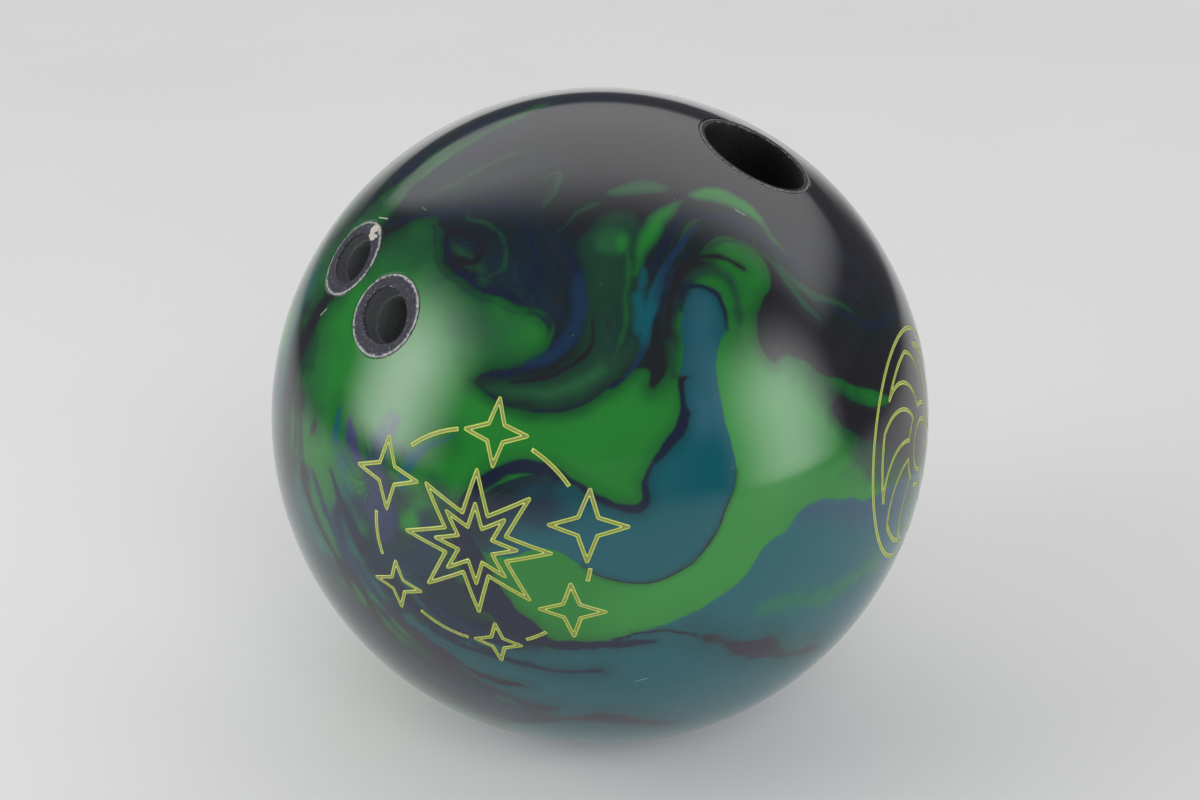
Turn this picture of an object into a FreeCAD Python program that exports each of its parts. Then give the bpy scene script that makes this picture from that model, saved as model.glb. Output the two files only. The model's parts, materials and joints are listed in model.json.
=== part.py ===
"""A drilled ten-pin bowling ball, as the pieces it would show if it were sawn open on a bench.

Frame: the origin is the ball's centre and +Z is up as the ball lies at rest. -Y is the face
that carries the painted emblem. Lengths are in millimetres and angles in degrees.
Each piece is written to parts/NAME.step as its own solid or group of solids.
"""

import FreeCAD
import Part

import math
import os

from FreeCAD import Placement, Rotation, Vector

# ---- driving dimensions -------------------------------------------------------------------
BALL_R = 108.5            # regulation balls are 215.9 to 218.3 mm across
COVER_T = 19.0            # poured cover, three quarters of an inch
CORE_R = BALL_R - COVER_T

# Directions from the centre, as (azimuth, elevation). Azimuth 0 is -Y and grows towards +X.
THUMB_AT = (69.8, 61.7)
MIDDLE_AT = (-43.7, 33.3)
RING_AT = (-62.6, 39.0)
PIN_AT = (-97.0, 25.0)
FRONT_EMBLEM_AT = (-19.0, 2.0)
SIDE_EMBLEM_AT = (68.0, 4.0)

GLUE_T = 0.1              # bond film between a drilled wall and what is glued into it
EDGE_EASE = 0.5           # bevel that a shop leaves on every drilled edge

INSERT_R = 12.7           # one inch finger grip
INSERT_LEN = 34.0
GRIP_HALF_WIDE = 8.5      # oval finger opening, across the finger
GRIP_HALF_THIN = 6.9      # and through the finger
GRIP_FLARE = 0.9          # the mouth is shaved wider by this much
GRIP_FLARE_DEPTH = 4.0
FINGER_DEPTH = 48.0
DRILL_POINT = 2.5         # height of the shallow cone that the bit leaves
DRILL_TIP_R = 0.2         # its flat tip
FINGER_PITCH = 12.7       # each finger hole is aimed this far to its own side of the ball's centre

SLEEVE_R = 19.05          # inch and a half removable-thumb sleeve
SLEEVE_BORE_R = 17.45     # takes an inch and three eighths thumb slug
SLEEVE_FLOOR = 3.0
THUMB_DEPTH = 74.0
LUG_INNER_R = 14.6        # two bayonet lugs hold the slug down
LUG_GAP = 5.0             # under each lug, for the slug's feet
LUG_T = 5.0
LUG_SPAN = 110.0
UNDERCUT_R = 17.9         # the wall is relieved from the floor to the top of the lugs
FOAM_R = 13.4             # foam disc that pushes the slug up against the lugs
FOAM_T = 4.0

PIN_R = 5.5
CAP_TOP = 62.0            # where the weight block's cap ends and the pin begins
CAP_R = 34.0
CAP_ROUND = 8.0
BULB_R = 52.0
BULB_DROP = 6.0           # the bulb's centre sits this far below the ball's centre
RING_R = 60.0             # shoulder ring
RING_LOW, RING_HIGH = -2.0, 18.0
RING_ROUND = 6.0
FIN_LONG, FIN_WIDE = 122.0, 40.0
FIN_LOW, FIN_HIGH = -26.0, 10.0
FIN_ROUND = 10.0
PUCK_R = 20.0             # dense flip block let into the cap
PUCK_T = 20.0

LINE_W = 1.2              # engraved emblem lines
LINE_DEPTH = 0.5
PAINT_BELOW = 0.08        # the paint dries this far below the ball's surface
EMBLEM_REACH = 14.0       # tool travel, more than the sagitta under an emblem
PAST = 1.0                # cutting shapes run on past the surface by this much

STAR_TIPS = 8
STAR_TIP_R, STAR_NOTCH_R = 22.0, 10.0
STAR_INNER_SCALE = 0.56
ORBIT_R = 33.0            # broken ring that the small stars sit on
SMALL_TIPS = 4
SMALL_NOTCH = 0.36        # notch radius of a small star over its tip radius
SMALL_STARS = ((15, 10.5), (82, 9.0), (152, 10.5), (216, 8.0), (278, 7.0), (326, 9.0))   # angle, tip radius
ORBIT_GAP = 2.2           # the ring stops this far short of a small star's tips

BLADES = 6
BLADE_RIM_R, BLADE_HUB_R = 36.0, 8.0
BLADE_OUTER_R, BLADE_INNER_R = 31.0, 13.0
BLADE_SWEEP = 34.0        # degrees that a blade leans between its inner and outer end
BLADE_BEND = 0.3          # share of that lean reached half-way out
BLADE_INNER_SPAN, BLADE_OUTER_SPAN = 34.0, 40.0


# ---- frames -------------------------------------------------------------------------------
def direction(at):
    """Unit vector for an (azimuth, elevation) pair."""
    azimuth, elevation = (math.radians(a) for a in at)
    across = math.cos(elevation)
    return Vector(across * math.sin(azimuth), -across * math.cos(azimuth), math.sin(elevation))


def frame(at, towards):
    """Placement at the centre with local +Z out along `at` and local +X leaning towards a vector."""
    z = direction(at)
    x = towards - z * towards.dot(z)
    x.normalize()
    return Placement(Vector(0, 0, 0), Rotation(x, z.cross(x), z, "ZXY"))


def pitched_frame(at, towards, neighbour):
    """As frame, but tilted about the hole's mouth to aim FINGER_PITCH away from a neighbouring hole.

    The mouth is at local height BALL_R. Without the tilt, two finger holes would meet inside.
    """
    out = direction(at)
    aside = neighbour - out * neighbour.dot(out)
    aside.normalize()
    z = out * BALL_R + aside * FINGER_PITCH
    z.normalize()
    x = towards - z * towards.dot(z)
    x.normalize()
    return Placement((out - z) * BALL_R, Rotation(x, z.cross(x), z, "ZXY"))


def placed(shape, place):
    """A copy of a shape moved from its local frame to the ball's frame."""
    moved = shape.copy()
    moved.Placement = place.multiply(moved.Placement)
    return moved


# ---- simple solids, all about local +Z -----------------------------------------------------
def cylinder(radius, low, high):
    return Part.makeCylinder(radius, high - low, Vector(0, 0, low))


def cone(low_radius, high_radius, low, high):
    return Part.makeCone(low_radius, high_radius, high - low, Vector(0, 0, low))


def oval(half_x, half_y, height):
    """Wire of a level ellipse whose longer half is along Y."""
    ellipse = Part.Ellipse(Vector(0, half_y, height), Vector(half_x, 0, height), Vector(0, 0, height))
    return Part.Wire(ellipse.toShape())


def ball(radius):
    return Part.makeSphere(radius)


def surface_height(radius):
    """Height at which a cylinder of this radius about the local axis meets the ball's surface."""
    return math.sqrt(BALL_R ** 2 - radius ** 2)


def edge_ease(radius):
    """The bevel cut on a hole of this radius where it meets the surface, run on past both its ends."""
    rim = surface_height(radius)
    return cone(radius - EDGE_EASE, radius + 3 * EDGE_EASE, rim - 2 * EDGE_EASE, rim + 2 * EDGE_EASE)


def finger_hole():
    """What the drill takes out for a grip: bore and shallow point."""
    radius = INSERT_R + GLUE_T
    floor = BALL_R - FINGER_DEPTH
    bore = cylinder(radius, floor, BALL_R + PAST)
    return bore.fuse(cone(DRILL_TIP_R, radius, floor - DRILL_POINT, floor))


def thumb_hole():
    """What the flat-bottomed cutter takes out for the thumb sleeve."""
    radius = SLEEVE_R + GLUE_T
    return cylinder(radius, BALL_R - THUMB_DEPTH, BALL_R + PAST).fuse(edge_ease(radius))


# ---- grips ----------------------------------------------------------------------------------
def finger_insert():
    """Soft grip before it is sanded flush: a tube with an oval opening, shaved wider at the mouth."""
    tube = cylinder(INSERT_R, BALL_R - INSERT_LEN, BALL_R + PAST)
    straight = Part.Face(oval(GRIP_HALF_THIN, GRIP_HALF_WIDE, BALL_R - INSERT_LEN - PAST))
    straight = straight.extrude(Vector(0, 0, INSERT_LEN + 2 * PAST))
    mouth = surface_height(GRIP_HALF_WIDE + GRIP_FLARE)
    slope = GRIP_FLARE / GRIP_FLARE_DEPTH
    top = mouth + 2 * PAST
    widened = slope * (top - mouth + GRIP_FLARE_DEPTH)
    flare = Part.makeLoft([
        oval(GRIP_HALF_THIN, GRIP_HALF_WIDE, mouth - GRIP_FLARE_DEPTH),
        oval(GRIP_HALF_THIN + widened, GRIP_HALF_WIDE + widened, top),
    ], True)
    return tube.cut(straight).cut(flare)


def finger_glue():
    """Bond film round an insert, before its top is trimmed."""
    outside = cylinder(INSERT_R + GLUE_T, BALL_R - INSERT_LEN, BALL_R + PAST)
    inside = cylinder(INSERT_R, BALL_R - INSERT_LEN, BALL_R + PAST)
    return outside.cut(inside)


def thumb_sleeve():
    """Cup that a removable thumb slug twists into, with two bayonet lugs near its floor."""
    under = BALL_R - THUMB_DEPTH + GLUE_T
    floor = under + SLEEVE_FLOOR
    lug_low = floor + LUG_GAP
    lug_top = lug_low + LUG_T
    cup = cylinder(SLEEVE_R, under, BALL_R + PAST).common(ball(BALL_R))
    cup = cup.cut([
        cylinder(UNDERCUT_R, floor, lug_top),
        cylinder(SLEEVE_BORE_R, lug_top, BALL_R + PAST),
        edge_ease(SLEEVE_BORE_R),
    ])
    root_r = (UNDERCUT_R + SLEEVE_R) / 2
    for start in (0, 180):
        lug = Part.makeCylinder(root_r, LUG_T, Vector(0, 0, lug_low), Vector(0, 0, 1), LUG_SPAN)
        lug.rotate(Vector(0, 0, 0), Vector(0, 0, 1), start)
        cup = cup.fuse(lug.cut(cylinder(LUG_INNER_R, floor, lug_top + PAST)))
    return cup.removeSplitter()


def thumb_foam():
    floor = BALL_R - THUMB_DEPTH + GLUE_T + SLEEVE_FLOOR
    return cylinder(FOAM_R, floor, floor + FOAM_T)


def thumb_glue():
    """Epoxy cup between the drilled wall and the sleeve."""
    low = BALL_R - THUMB_DEPTH
    outside = cylinder(SLEEVE_R + GLUE_T, low, surface_height(SLEEVE_R) - EDGE_EASE)
    return outside.cut(cylinder(SLEEVE_R, low + GLUE_T, BALL_R))


# ---- core -----------------------------------------------------------------------------------
def weight_block_blank():
    """Asymmetric light-bulb core before drilling: bulb, shoulder ring, cap and a fin through the middle."""
    bulb = Part.makeSphere(BULB_R, Vector(0, 0, -BULB_DROP))
    shoulder = cylinder(RING_R, RING_LOW, RING_HIGH)
    shoulder = shoulder.makeFillet(RING_ROUND, shoulder.Edges)
    cap = cylinder(CAP_R, 0, CAP_TOP)
    cap = cap.makeFillet(CAP_ROUND, [e for e in cap.Edges if e.BoundBox.ZMin > CAP_TOP / 2])
    fin = Part.makeBox(FIN_LONG, FIN_WIDE, FIN_HIGH - FIN_LOW, Vector(-FIN_LONG / 2, -FIN_WIDE / 2, FIN_LOW))
    fin = fin.makeFillet(FIN_ROUND, fin.Edges)
    return bulb.fuse([shoulder, cap, fin]).removeSplitter()


def flip_block():
    return cylinder(PUCK_R, CAP_TOP - PUCK_T, CAP_TOP)


def core_pin():
    return cylinder(PIN_R, CAP_TOP, BALL_R + PAST).common(ball(BALL_R))


# ---- emblems --------------------------------------------------------------------------------
def polar(radius, degrees):
    return Vector(radius * math.cos(math.radians(degrees)), radius * math.sin(math.radians(degrees)), 0)


def outline(face):
    """The band that a round cutter leaves when it follows the edge of a flat face."""
    return face.makeOffset2D(LINE_W / 2).cut(face.makeOffset2D(-LINE_W / 2))


def disc(radius):
    return Part.Face(Part.Wire(Part.makeCircle(radius)))


def star(tips, tip_r, notch_r):
    step = 180.0 / tips
    corners = [polar(notch_r if k % 2 else tip_r, 90 + k * step) for k in range(2 * tips)]
    return Part.Face(Part.makePolygon(corners + corners[:1]))


def arc_band(radius, start, end):
    """One engraved line along an arc, cut square at both ends."""
    inner, outer = radius - LINE_W / 2, radius + LINE_W / 2
    middle = (start + end) / 2
    edges = [
        Part.Arc(polar(outer, start), polar(outer, middle), polar(outer, end)).toShape(),
        Part.makeLine(polar(outer, end), polar(inner, end)),
        Part.Arc(polar(inner, end), polar(inner, middle), polar(inner, start)).toShape(),
        Part.makeLine(polar(inner, start), polar(outer, start)),
    ]
    return Part.Face(Part.Wire(edges))


def star_emblem():
    """An eight-pointed star, one inside the other, in a broken ring of small four-pointed stars."""
    bands = [
        outline(star(STAR_TIPS, STAR_TIP_R, STAR_NOTCH_R)),
        outline(star(STAR_TIPS, STAR_TIP_R * STAR_INNER_SCALE, STAR_NOTCH_R * STAR_INNER_SCALE)),
    ]
    for angle, tip_r in SMALL_STARS:
        small = star(SMALL_TIPS, tip_r, tip_r * SMALL_NOTCH)
        small.translate(polar(ORBIT_R, angle))
        bands.append(outline(small))
    following = SMALL_STARS[1:] + SMALL_STARS[:1]
    for (angle, tip_r), (next_angle, next_tip_r) in zip(SMALL_STARS, following):
        start = angle + math.degrees((tip_r + ORBIT_GAP) / ORBIT_R)
        end = next_angle - math.degrees((next_tip_r + ORBIT_GAP) / ORBIT_R)
        if end < start:
            end += 360
        bands.append(arc_band(ORBIT_R, start, end))
    return bands


def blade(start):
    """One swept blade with a curved leading and trailing edge."""
    middle_r = (BLADE_INNER_R + BLADE_OUTER_R) / 2
    trail, lead = start, start + BLADE_INNER_SPAN
    trail_out = trail + BLADE_SWEEP
    lead_out = trail_out + BLADE_OUTER_SPAN
    edges = [
        Part.Arc(polar(BLADE_INNER_R, trail), polar(middle_r, trail + BLADE_BEND * BLADE_SWEEP),
                 polar(BLADE_OUTER_R, trail_out)).toShape(),
        Part.Arc(polar(BLADE_OUTER_R, trail_out), polar(BLADE_OUTER_R, (trail_out + lead_out) / 2),
                 polar(BLADE_OUTER_R, lead_out)).toShape(),
        Part.Arc(polar(BLADE_OUTER_R, lead_out), polar(middle_r, lead + BLADE_BEND * BLADE_SWEEP),
                 polar(BLADE_INNER_R, lead)).toShape(),
        Part.Arc(polar(BLADE_INNER_R, lead), polar(BLADE_INNER_R, (trail + lead) / 2),
                 polar(BLADE_INNER_R, trail)).toShape(),
    ]
    return Part.Face(Part.Wire(edges))


def pinwheel_emblem():
    """Swept blades between a rim and a hub."""
    bands = [outline(disc(BLADE_RIM_R)), outline(disc(BLADE_HUB_R))]
    bands += [outline(blade(k * 360.0 / BLADES)) for k in range(BLADES)]
    return bands


def engraving(bands, depth_top, depth_bottom, at):
    """The flat bands driven into the ball, kept between two depths below its surface."""
    shell = ball(BALL_R - depth_top).cut(ball(BALL_R - depth_bottom))
    rightwards = Vector(0, 0, 1).cross(direction(at))
    place = frame(at, rightwards)
    solids = []
    for band in bands:
        tool = band.extrude(Vector(0, 0, EMBLEM_REACH + PAST))
        tool.translate(Vector(0, 0, BALL_R - EMBLEM_REACH))
        solids += placed(tool, place).common(shell).Solids
    return solids


# ---- assembly -------------------------------------------------------------------------------
def build():
    thumb_way, middle_way, ring_way = direction(THUMB_AT), direction(MIDDLE_AT), direction(RING_AT)
    thumb = frame(THUMB_AT, middle_way)
    middle = pitched_frame(MIDDLE_AT, thumb_way, ring_way)
    ring_finger = pitched_frame(RING_AT, thumb_way, middle_way)
    pin = frame(PIN_AT, thumb_way)

    drilled = [
        placed(finger_hole(), middle),
        placed(edge_ease(INSERT_R + GLUE_T), frame(MIDDLE_AT, thumb_way)),
        placed(finger_hole(), ring_finger),
        placed(edge_ease(INSERT_R + GLUE_T), frame(RING_AT, thumb_way)),
        placed(thumb_hole(), thumb),
    ]
    flush, below_edge = ball(BALL_R), ball(BALL_R - EDGE_EASE)
    pin_solid = placed(core_pin(), pin)
    pin_hole = placed(cylinder(PIN_R, CAP_TOP, BALL_R + PAST), pin)

    blank = placed(weight_block_blank(), pin)
    puck = placed(flip_block(), pin)

    front, side = star_emblem(), pinwheel_emblem()
    grooves = engraving(front, -LINE_DEPTH, LINE_DEPTH, FRONT_EMBLEM_AT)
    grooves += engraving(side, -LINE_DEPTH, LINE_DEPTH, SIDE_EMBLEM_AT)

    return {
        "coverstock": ball(BALL_R).cut(ball(CORE_R)).cut(drilled + [pin_hole]).cut(grooves),
        "outer_core": ball(CORE_R).cut([blank, puck, pin_hole] + drilled),
        "weight_block": blank.cut([puck] + drilled),
        "flip_block": puck,
        "core_pin": pin_solid,
        "middle_finger_insert": placed(finger_insert(), middle).common(flush),
        "ring_finger_insert": placed(finger_insert(), ring_finger).common(flush),
        "middle_finger_glue": placed(finger_glue(), middle).common(below_edge),
        "ring_finger_glue": placed(finger_glue(), ring_finger).common(below_edge),
        "thumb_sleeve": placed(thumb_sleeve(), thumb),
        "thumb_sleeve_foam": placed(thumb_foam(), thumb),
        "thumb_sleeve_glue": placed(thumb_glue(), thumb),
        "front_emblem_paint": Part.Compound(engraving(front, PAINT_BELOW, LINE_DEPTH, FRONT_EMBLEM_AT)),
        "side_emblem_paint": Part.Compound(engraving(side, PAINT_BELOW, LINE_DEPTH, SIDE_EMBLEM_AT)),
    }


os.makedirs("parts", exist_ok=True)
for name, shape in build().items():
    shape.exportStep(os.path.join("parts", name + ".step"))
    print(name, len(shape.Solids), "solids", round(shape.Volume / 1000, 2), "cm3", shape.isValid())
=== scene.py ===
"""A drilled bowling ball: a swirled cover, rubber finger grips, a thumb sleeve and painted engravings.

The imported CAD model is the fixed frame, and sizes and places are read from its nodes and its record.
Shapes are worked out in millimetres and turned into metres when a mesh is made. The colours of the
cover are poured as strokes on maps of the ball, in degrees right and up of each map's centre.
"""

import collections
import itertools
import json
import math

import bmesh
import bpy
import numpy as np
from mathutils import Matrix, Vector
from mathutils.geometry import delaunay_2d_cdt
from mathutils.kdtree import KDTree

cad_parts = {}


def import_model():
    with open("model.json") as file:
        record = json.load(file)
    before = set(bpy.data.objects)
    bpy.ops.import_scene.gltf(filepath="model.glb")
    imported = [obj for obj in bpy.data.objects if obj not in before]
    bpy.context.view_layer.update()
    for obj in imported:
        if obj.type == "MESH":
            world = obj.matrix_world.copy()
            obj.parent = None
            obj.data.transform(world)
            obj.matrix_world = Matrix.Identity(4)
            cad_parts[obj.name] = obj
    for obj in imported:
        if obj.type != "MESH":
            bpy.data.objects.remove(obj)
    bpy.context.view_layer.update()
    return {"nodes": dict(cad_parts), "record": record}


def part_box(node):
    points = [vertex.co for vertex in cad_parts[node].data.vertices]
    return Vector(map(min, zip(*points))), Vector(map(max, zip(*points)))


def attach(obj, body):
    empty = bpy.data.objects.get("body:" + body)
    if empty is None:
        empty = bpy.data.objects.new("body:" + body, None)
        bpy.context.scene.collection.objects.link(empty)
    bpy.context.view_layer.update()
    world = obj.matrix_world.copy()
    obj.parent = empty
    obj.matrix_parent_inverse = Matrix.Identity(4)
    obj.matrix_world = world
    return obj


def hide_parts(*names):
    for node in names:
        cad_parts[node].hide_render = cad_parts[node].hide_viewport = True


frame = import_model()

MM = 0.001                # metres in one unit of this script
GOLDEN = 3 - math.sqrt(5)   # half turns from each point of an evenly spread spiral to the next

# Camera.
VIEW_ELEVATION = 23.0     # it looks down by this many degrees
CAMERA_REACH = 5.5        # from the ball's centre, in ball radii
CAMERA_TILT = 0.49        # degrees that it aims above the ball's centre
CAMERA_LENS = 53.3        # focal length in millimetres

# Cover mesh, in millimetres.
FRONT_SPACING = 1.1       # between points where the camera looks
REAR_THINNING = 3.2       # area of a point behind, over that in front
REAR_FROM, REAR_TO = 85, 125   # degrees from the camera's direction between which the points thin out
RIM_POINTS = 96           # round a finger hole; the thumb hole has half as many again
EDGE_EASE = 0.5           # bevel on every drilled edge
GROOVE_DEPTH = 0.5        # engraved lines
LINE_HALF = 0.6           # half an engraved line's width
LINE_STEP = 0.6           # longest step along an engraved line's edge
LINE_GAP = 0.25           # shortest step along it
MIDDLE_STEP = 0.4         # shortest step along an engraved line's middle
MIDDLE_CLEAR = 0.75 * LINE_HALF   # a point on the middle keeps this far from the edges
TOP_BAND = 0.05           # a CAD paint face less than this below its highest point is its top
THREAD_HALF = 0.9         # a ribbon narrower than this, in degrees, has points along its middle
THREAD_STEP = 0.75        # shortest step between those
CLEAR = 0.55              # an ordinary point keeps this far from rims and engraved edges
INNER_SPACING = 4.5       # between points on the hidden inside of the cover

# Marbling, in degrees on the ball.
SPLINE_STEP = 1.0         # longest step along a stroke
FIELD_MARGIN = 12.0       # a stroke's field is worked out this far round it
FAR = 50.0                # field value where a stroke is out of reach
DRIFT = 0.45              # how far the slow drift moves every edge
DRIFT_SCALE = 9.0         # lattice cells of the drift per ball radius
RAGGED_SCALE = 16.0       # lattice cells of the raggedness per ball radius
CHUNK = 4000              # points worked on at a time, to save memory

# Pieces, in millimetres. Each emblem stands for a CAD node whose lines it follows.
EMBLEMS = {"front_emblem": "front_emblem_paint", "side_emblem": "side_emblem_paint"}
EMBLEM_REACH = 30.0       # no emblem goes this many degrees from its middle
PAINT_EDGE = 0.06         # below the cover, where the paint creeps up the groove
PAINT_MIDDLE = 0.16       # below the cover, between the edges
PAINT_GAP = 0.01          # between the paint and the groove's floor
GRIP_POINTS = 240         # round a grip
GRIP_FLARE = 1.1          # how much wider the shaved mouth is than the opening
GRIP_FLARE_DEPTH = 3.2    # how far down the shaving goes
GRIP_STEP = 0.45          # the step where the shaving ends
TORN_PATCH = (-41.6, 33.9)     # middle of the frayed place, on the front map
CUP_POINTS = 240          # round the sleeve
LUG_INNER_R = 14.6        # bayonet lugs in the bottom of the sleeve
LUG_SPAN = 110.0          # degrees
LUG_GAP = 5.0             # under a lug
UNDERCUT = 0.45           # the sleeve's bottom is this much wider than its bore

# Light and backdrop, in millimetres and degrees. Radiance 1 shows as white.
SWEEP_R, SWEEP_BEND, SWEEP_TOP = 2200.0, 150.0, 470.0
SWEEP_POINTS = 96
FLOOR_DARK, FLOOR_LIGHT = (0.76, 0.76, 0.755), (0.80, 0.80, 0.795)
ROOM_DIM, ROOM_PALE, ROOM_DARK = (0.18, 0.18, 0.185), (0.69, 0.69, 0.68), (0.09, 0.09, 0.1)
PAPER_LEFT, PAPER_RIGHT, PAPER_FADE = -500.0, 450.0, 900.0   # past these the ball mirrors a dark room
BOX_DISTANCE = 1000.0     # softboxes and the fill, from the ball's centre
LEFT_BOX_AT, RIGHT_BOX_AT = (-71.0, 22.0), (62.5, 15.5)      # azimuth and elevation
LEFT_BOX, RIGHT_BOX = (960.0, 1020.0), (980.0, 980.0)
LEFT_RADIANCE, RIGHT_RADIANCE = 5.6, 4.2
SIDE_FADE = (0.5, 0.18, 0.5)    # shares of the width, from the bottom and from the top that fade out
SIDE_SPREAD = 140.0             # keeps their beams off the floor
FILL_AT, FILL_ANGLE, FILL_STRENGTH = (10.0, 25.0), 50.0, 1.8
OVERHEAD_Z, OVERHEAD_WIDE = 1000.0, 5600.0
OVERHEAD_EDGE = 22.5            # its far edge is this high above the horizon
OVERHEAD_NEAR = -150.0          # its near edge is this far in front of the ball's centre
OVERHEAD_SHINE, OVERHEAD_GLOW = 1.45, 0.75   # radiance that the ball mirrors, and that lights the floor
OVERHEAD_FADE = (0.25, 0.12, 0.2)
OVERHEAD_CUT = 2.0              # how far its near left corner is cut back
OVERHEAD_FAR_SHARE = 0.4        # how bright its far edge is, next to its near edge
FALL_OFF, FALL_TO = 1.5, 0.65   # the dimming follows this power of the way to the near edge, up to this
GLOW_LIFT = 20.0                # keeps the two overhead lights out of one plane


# ---- directions, noise and splines ------------------------------------------------------------
def unit(vectors):
    """Vectors scaled to length one, along the last axis."""
    vectors = np.asarray(vectors, float)
    return vectors / np.linalg.norm(vectors, axis=-1, keepdims=True)


def facing(azimuth, elevation):
    """Unit vector; azimuth 0 is the front, -Y, and grows towards +X. Both in degrees."""
    a, e = math.radians(azimuth), math.radians(elevation)
    return np.array([math.cos(e) * math.sin(a), -math.cos(e) * math.cos(a), math.sin(e)])


def around(centre, up):
    """Right, up and outward unit vectors of a map of the ball centred on one direction."""
    right = unit(np.cross(up, centre))
    return np.array([right, np.cross(centre, right), centre])


def polar(reach, turn):
    """Directions at an angle from the third axis, turned round it from the first."""
    return np.stack([np.sin(reach) * np.cos(turn), np.sin(reach) * np.sin(turn), np.cos(reach)], 1)


def from_map(points, axes):
    """Directions of points given in degrees right and up of a map's centre, true to distance from it."""
    points = np.asarray(points, float)
    reach = np.radians(np.hypot(points[:, 0], points[:, 1]))
    turn = np.arctan2(points[:, 1], points[:, 0])
    return polar(reach, turn) @ axes


def to_map(directions, axes):
    """The reverse of from_map."""
    local = directions @ axes.T
    reach = np.degrees(np.arccos(np.clip(local[:, 2], -1, 1)))
    flat = np.hypot(local[:, 0], local[:, 1])
    return local[:, :2] * (reach / np.maximum(flat, 1e-9))[:, None]


def lattice_noise(points, seed):
    """Smooth value noise in -1..1, one lattice cell per unit."""
    cell = np.floor(points).astype(np.int64)
    part = points - cell
    ease = part ** 3 * (part * (part * 6 - 15) + 10)
    total = np.zeros(len(points))
    for corner in itertools.product((0, 1), repeat=3):
        x, y, z = (cell + corner).astype(np.uint64).T
        mixed = x * np.uint64(73856093) ^ y * np.uint64(19349663) ^ z * np.uint64(83492791)
        mixed = (mixed + np.uint64(seed * 2654435761)) & np.uint64(0xFFFFFFFF)
        mixed = (mixed ^ (mixed >> np.uint64(15))) * np.uint64(2246822519) & np.uint64(0xFFFFFFFF)
        mixed = (mixed ^ (mixed >> np.uint64(13))) * np.uint64(3266489917) & np.uint64(0xFFFFFFFF)
        mixed = mixed ^ (mixed >> np.uint64(16))
        weight = np.prod(np.where(corner, ease, 1 - ease), axis=1)
        total += weight * (mixed / 2147483648.0 - 1.0)
    return total


def rough_noise(points, octaves, seed):
    """Octaves of lattice noise, each half as big and half as strong as the last."""
    total = np.zeros(len(points))
    for k in range(octaves):
        total += lattice_noise(points * 2.0 ** k + 17.3 * k, seed + k) / 2.0 ** k
    return total


def smooth_step(low, high, value):
    t = np.clip((value - low) / (high - low), 0, 1)
    return t * t * (3 - 2 * t)


def spline(points, closed, step):
    """A smooth curve through points, in short steps. Any number of columns."""
    points = np.asarray(points, float)
    count = len(points)
    if closed:
        before, after = np.roll(points, 1, 0), np.roll(points, -1, 0)
        spans = range(count)
    else:
        before = np.concatenate([2 * points[:1] - points[1:2], points[:-1]])
        after = np.concatenate([points[1:], 2 * points[-1:] - points[-2:-1]])
        spans = range(count - 1)
    slope = (after - before) / 2
    pieces = []
    for k in spans:
        a, b = points[k], points[(k + 1) % count]
        sa, sb = slope[k], slope[(k + 1) % count]
        n = max(2, int(math.ceil(np.linalg.norm((b - a)[:2]) / step)))
        t = (np.arange(n) / n)[:, None]
        pieces.append(
            a * (2 * t ** 3 - 3 * t ** 2 + 1) + sa * (t ** 3 - 2 * t ** 2 + t)
            + b * (3 * t ** 2 - 2 * t ** 3) + sb * (t ** 3 - t ** 2)
        )
    if not closed:
        pieces.append(points[-1:])
    return np.concatenate(pieces)


def nearest_on_path(points, path, closed):
    """For 2-D points: distance to a path, and where along it, as a segment number plus a share."""
    starts = path if closed else path[:-1]
    run = (np.roll(path, -1, 0) if closed else path[1:]) - starts
    length2 = np.maximum((run ** 2).sum(1), 1e-12)
    offset = (starts * run).sum(1)
    distance, place = np.empty(len(points)), np.empty(len(points))
    for low in range(0, len(points), CHUNK):
        some = points[low:low + CHUNK]
        along = some @ run.T - offset
        share = np.clip(along / length2, 0, 1)
        gap = (starts ** 2).sum(1) - 2 * (some @ starts.T) + share * (share * length2 - 2 * along)
        best = gap.argmin(1)
        rows = np.arange(len(some))
        share = share[rows, best]
        foot = starts[best] + share[:, None] * run[best]
        distance[low:low + CHUNK] = np.linalg.norm(some - foot, axis=1)
        place[low:low + CHUNK] = best + share
    return distance, place


def inside_path(points, path):
    """Which 2-D points are inside a closed path, by counting the edges that cross a line to the right."""
    x0, y0 = path[:, 0], path[:, 1]
    x1, y1 = np.roll(x0, -1), np.roll(y0, -1)
    lean = (x1 - x0) / np.where(y1 == y0, 1e-12, y1 - y0)
    base = x0 - y0 * lean
    inside = np.zeros(len(points), bool)
    for low in range(0, len(points), CHUNK):
        px, py = points[low:low + CHUNK, 0:1], points[low:low + CHUNK, 1:2]
        above = y0 > py
        crosses = (above != np.roll(above, -1, 1)) & (px < base + py * lean)
        inside[low:low + CHUNK] = crosses.sum(1) % 2 == 1
    return inside


# ---- marbling ---------------------------------------------------------------------------------
def srgb(red, green, blue):
    """Linear colour of 0-255 display values."""
    c = np.array([red, green, blue]) / 255.0
    return np.where(c <= 0.04045, c / 12.92, ((c + 0.055) / 1.055) ** 2.4)


# Strokes of colour, in the order they were poured. Points are degrees right and up of the centre
# of a map of the ball. Three numbers a point make a ribbon with a half width, two make an outline.
Stroke = collections.namedtuple("Stroke", "layer colour soft ragged strength shapes axes points")

GREEN = srgb(33, 113, 43)
LEAF = srgb(49, 130, 57)
MOSS = srgb(27, 62, 45)
FERN = srgb(36, 82, 52)
TEAL = srgb(15, 79, 89)
LAGOON = srgb(26, 84, 92)
SKY = srgb(51, 94, 113)
NIGHT = srgb(30, 30, 35)
SLATE = srgb(30, 36, 47)
INK = srgb(23, 31, 50)
BLUE = srgb(24, 45, 69)
VIOLET = srgb(51, 54, 89)
PLUM = srgb(42, 38, 51)
DEEP = srgb(11, 36, 30)

LAYERS = {"base": GREEN, "dark": NIGHT, "teal": TEAL, "green": GREEN, "thread": INK}

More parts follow.
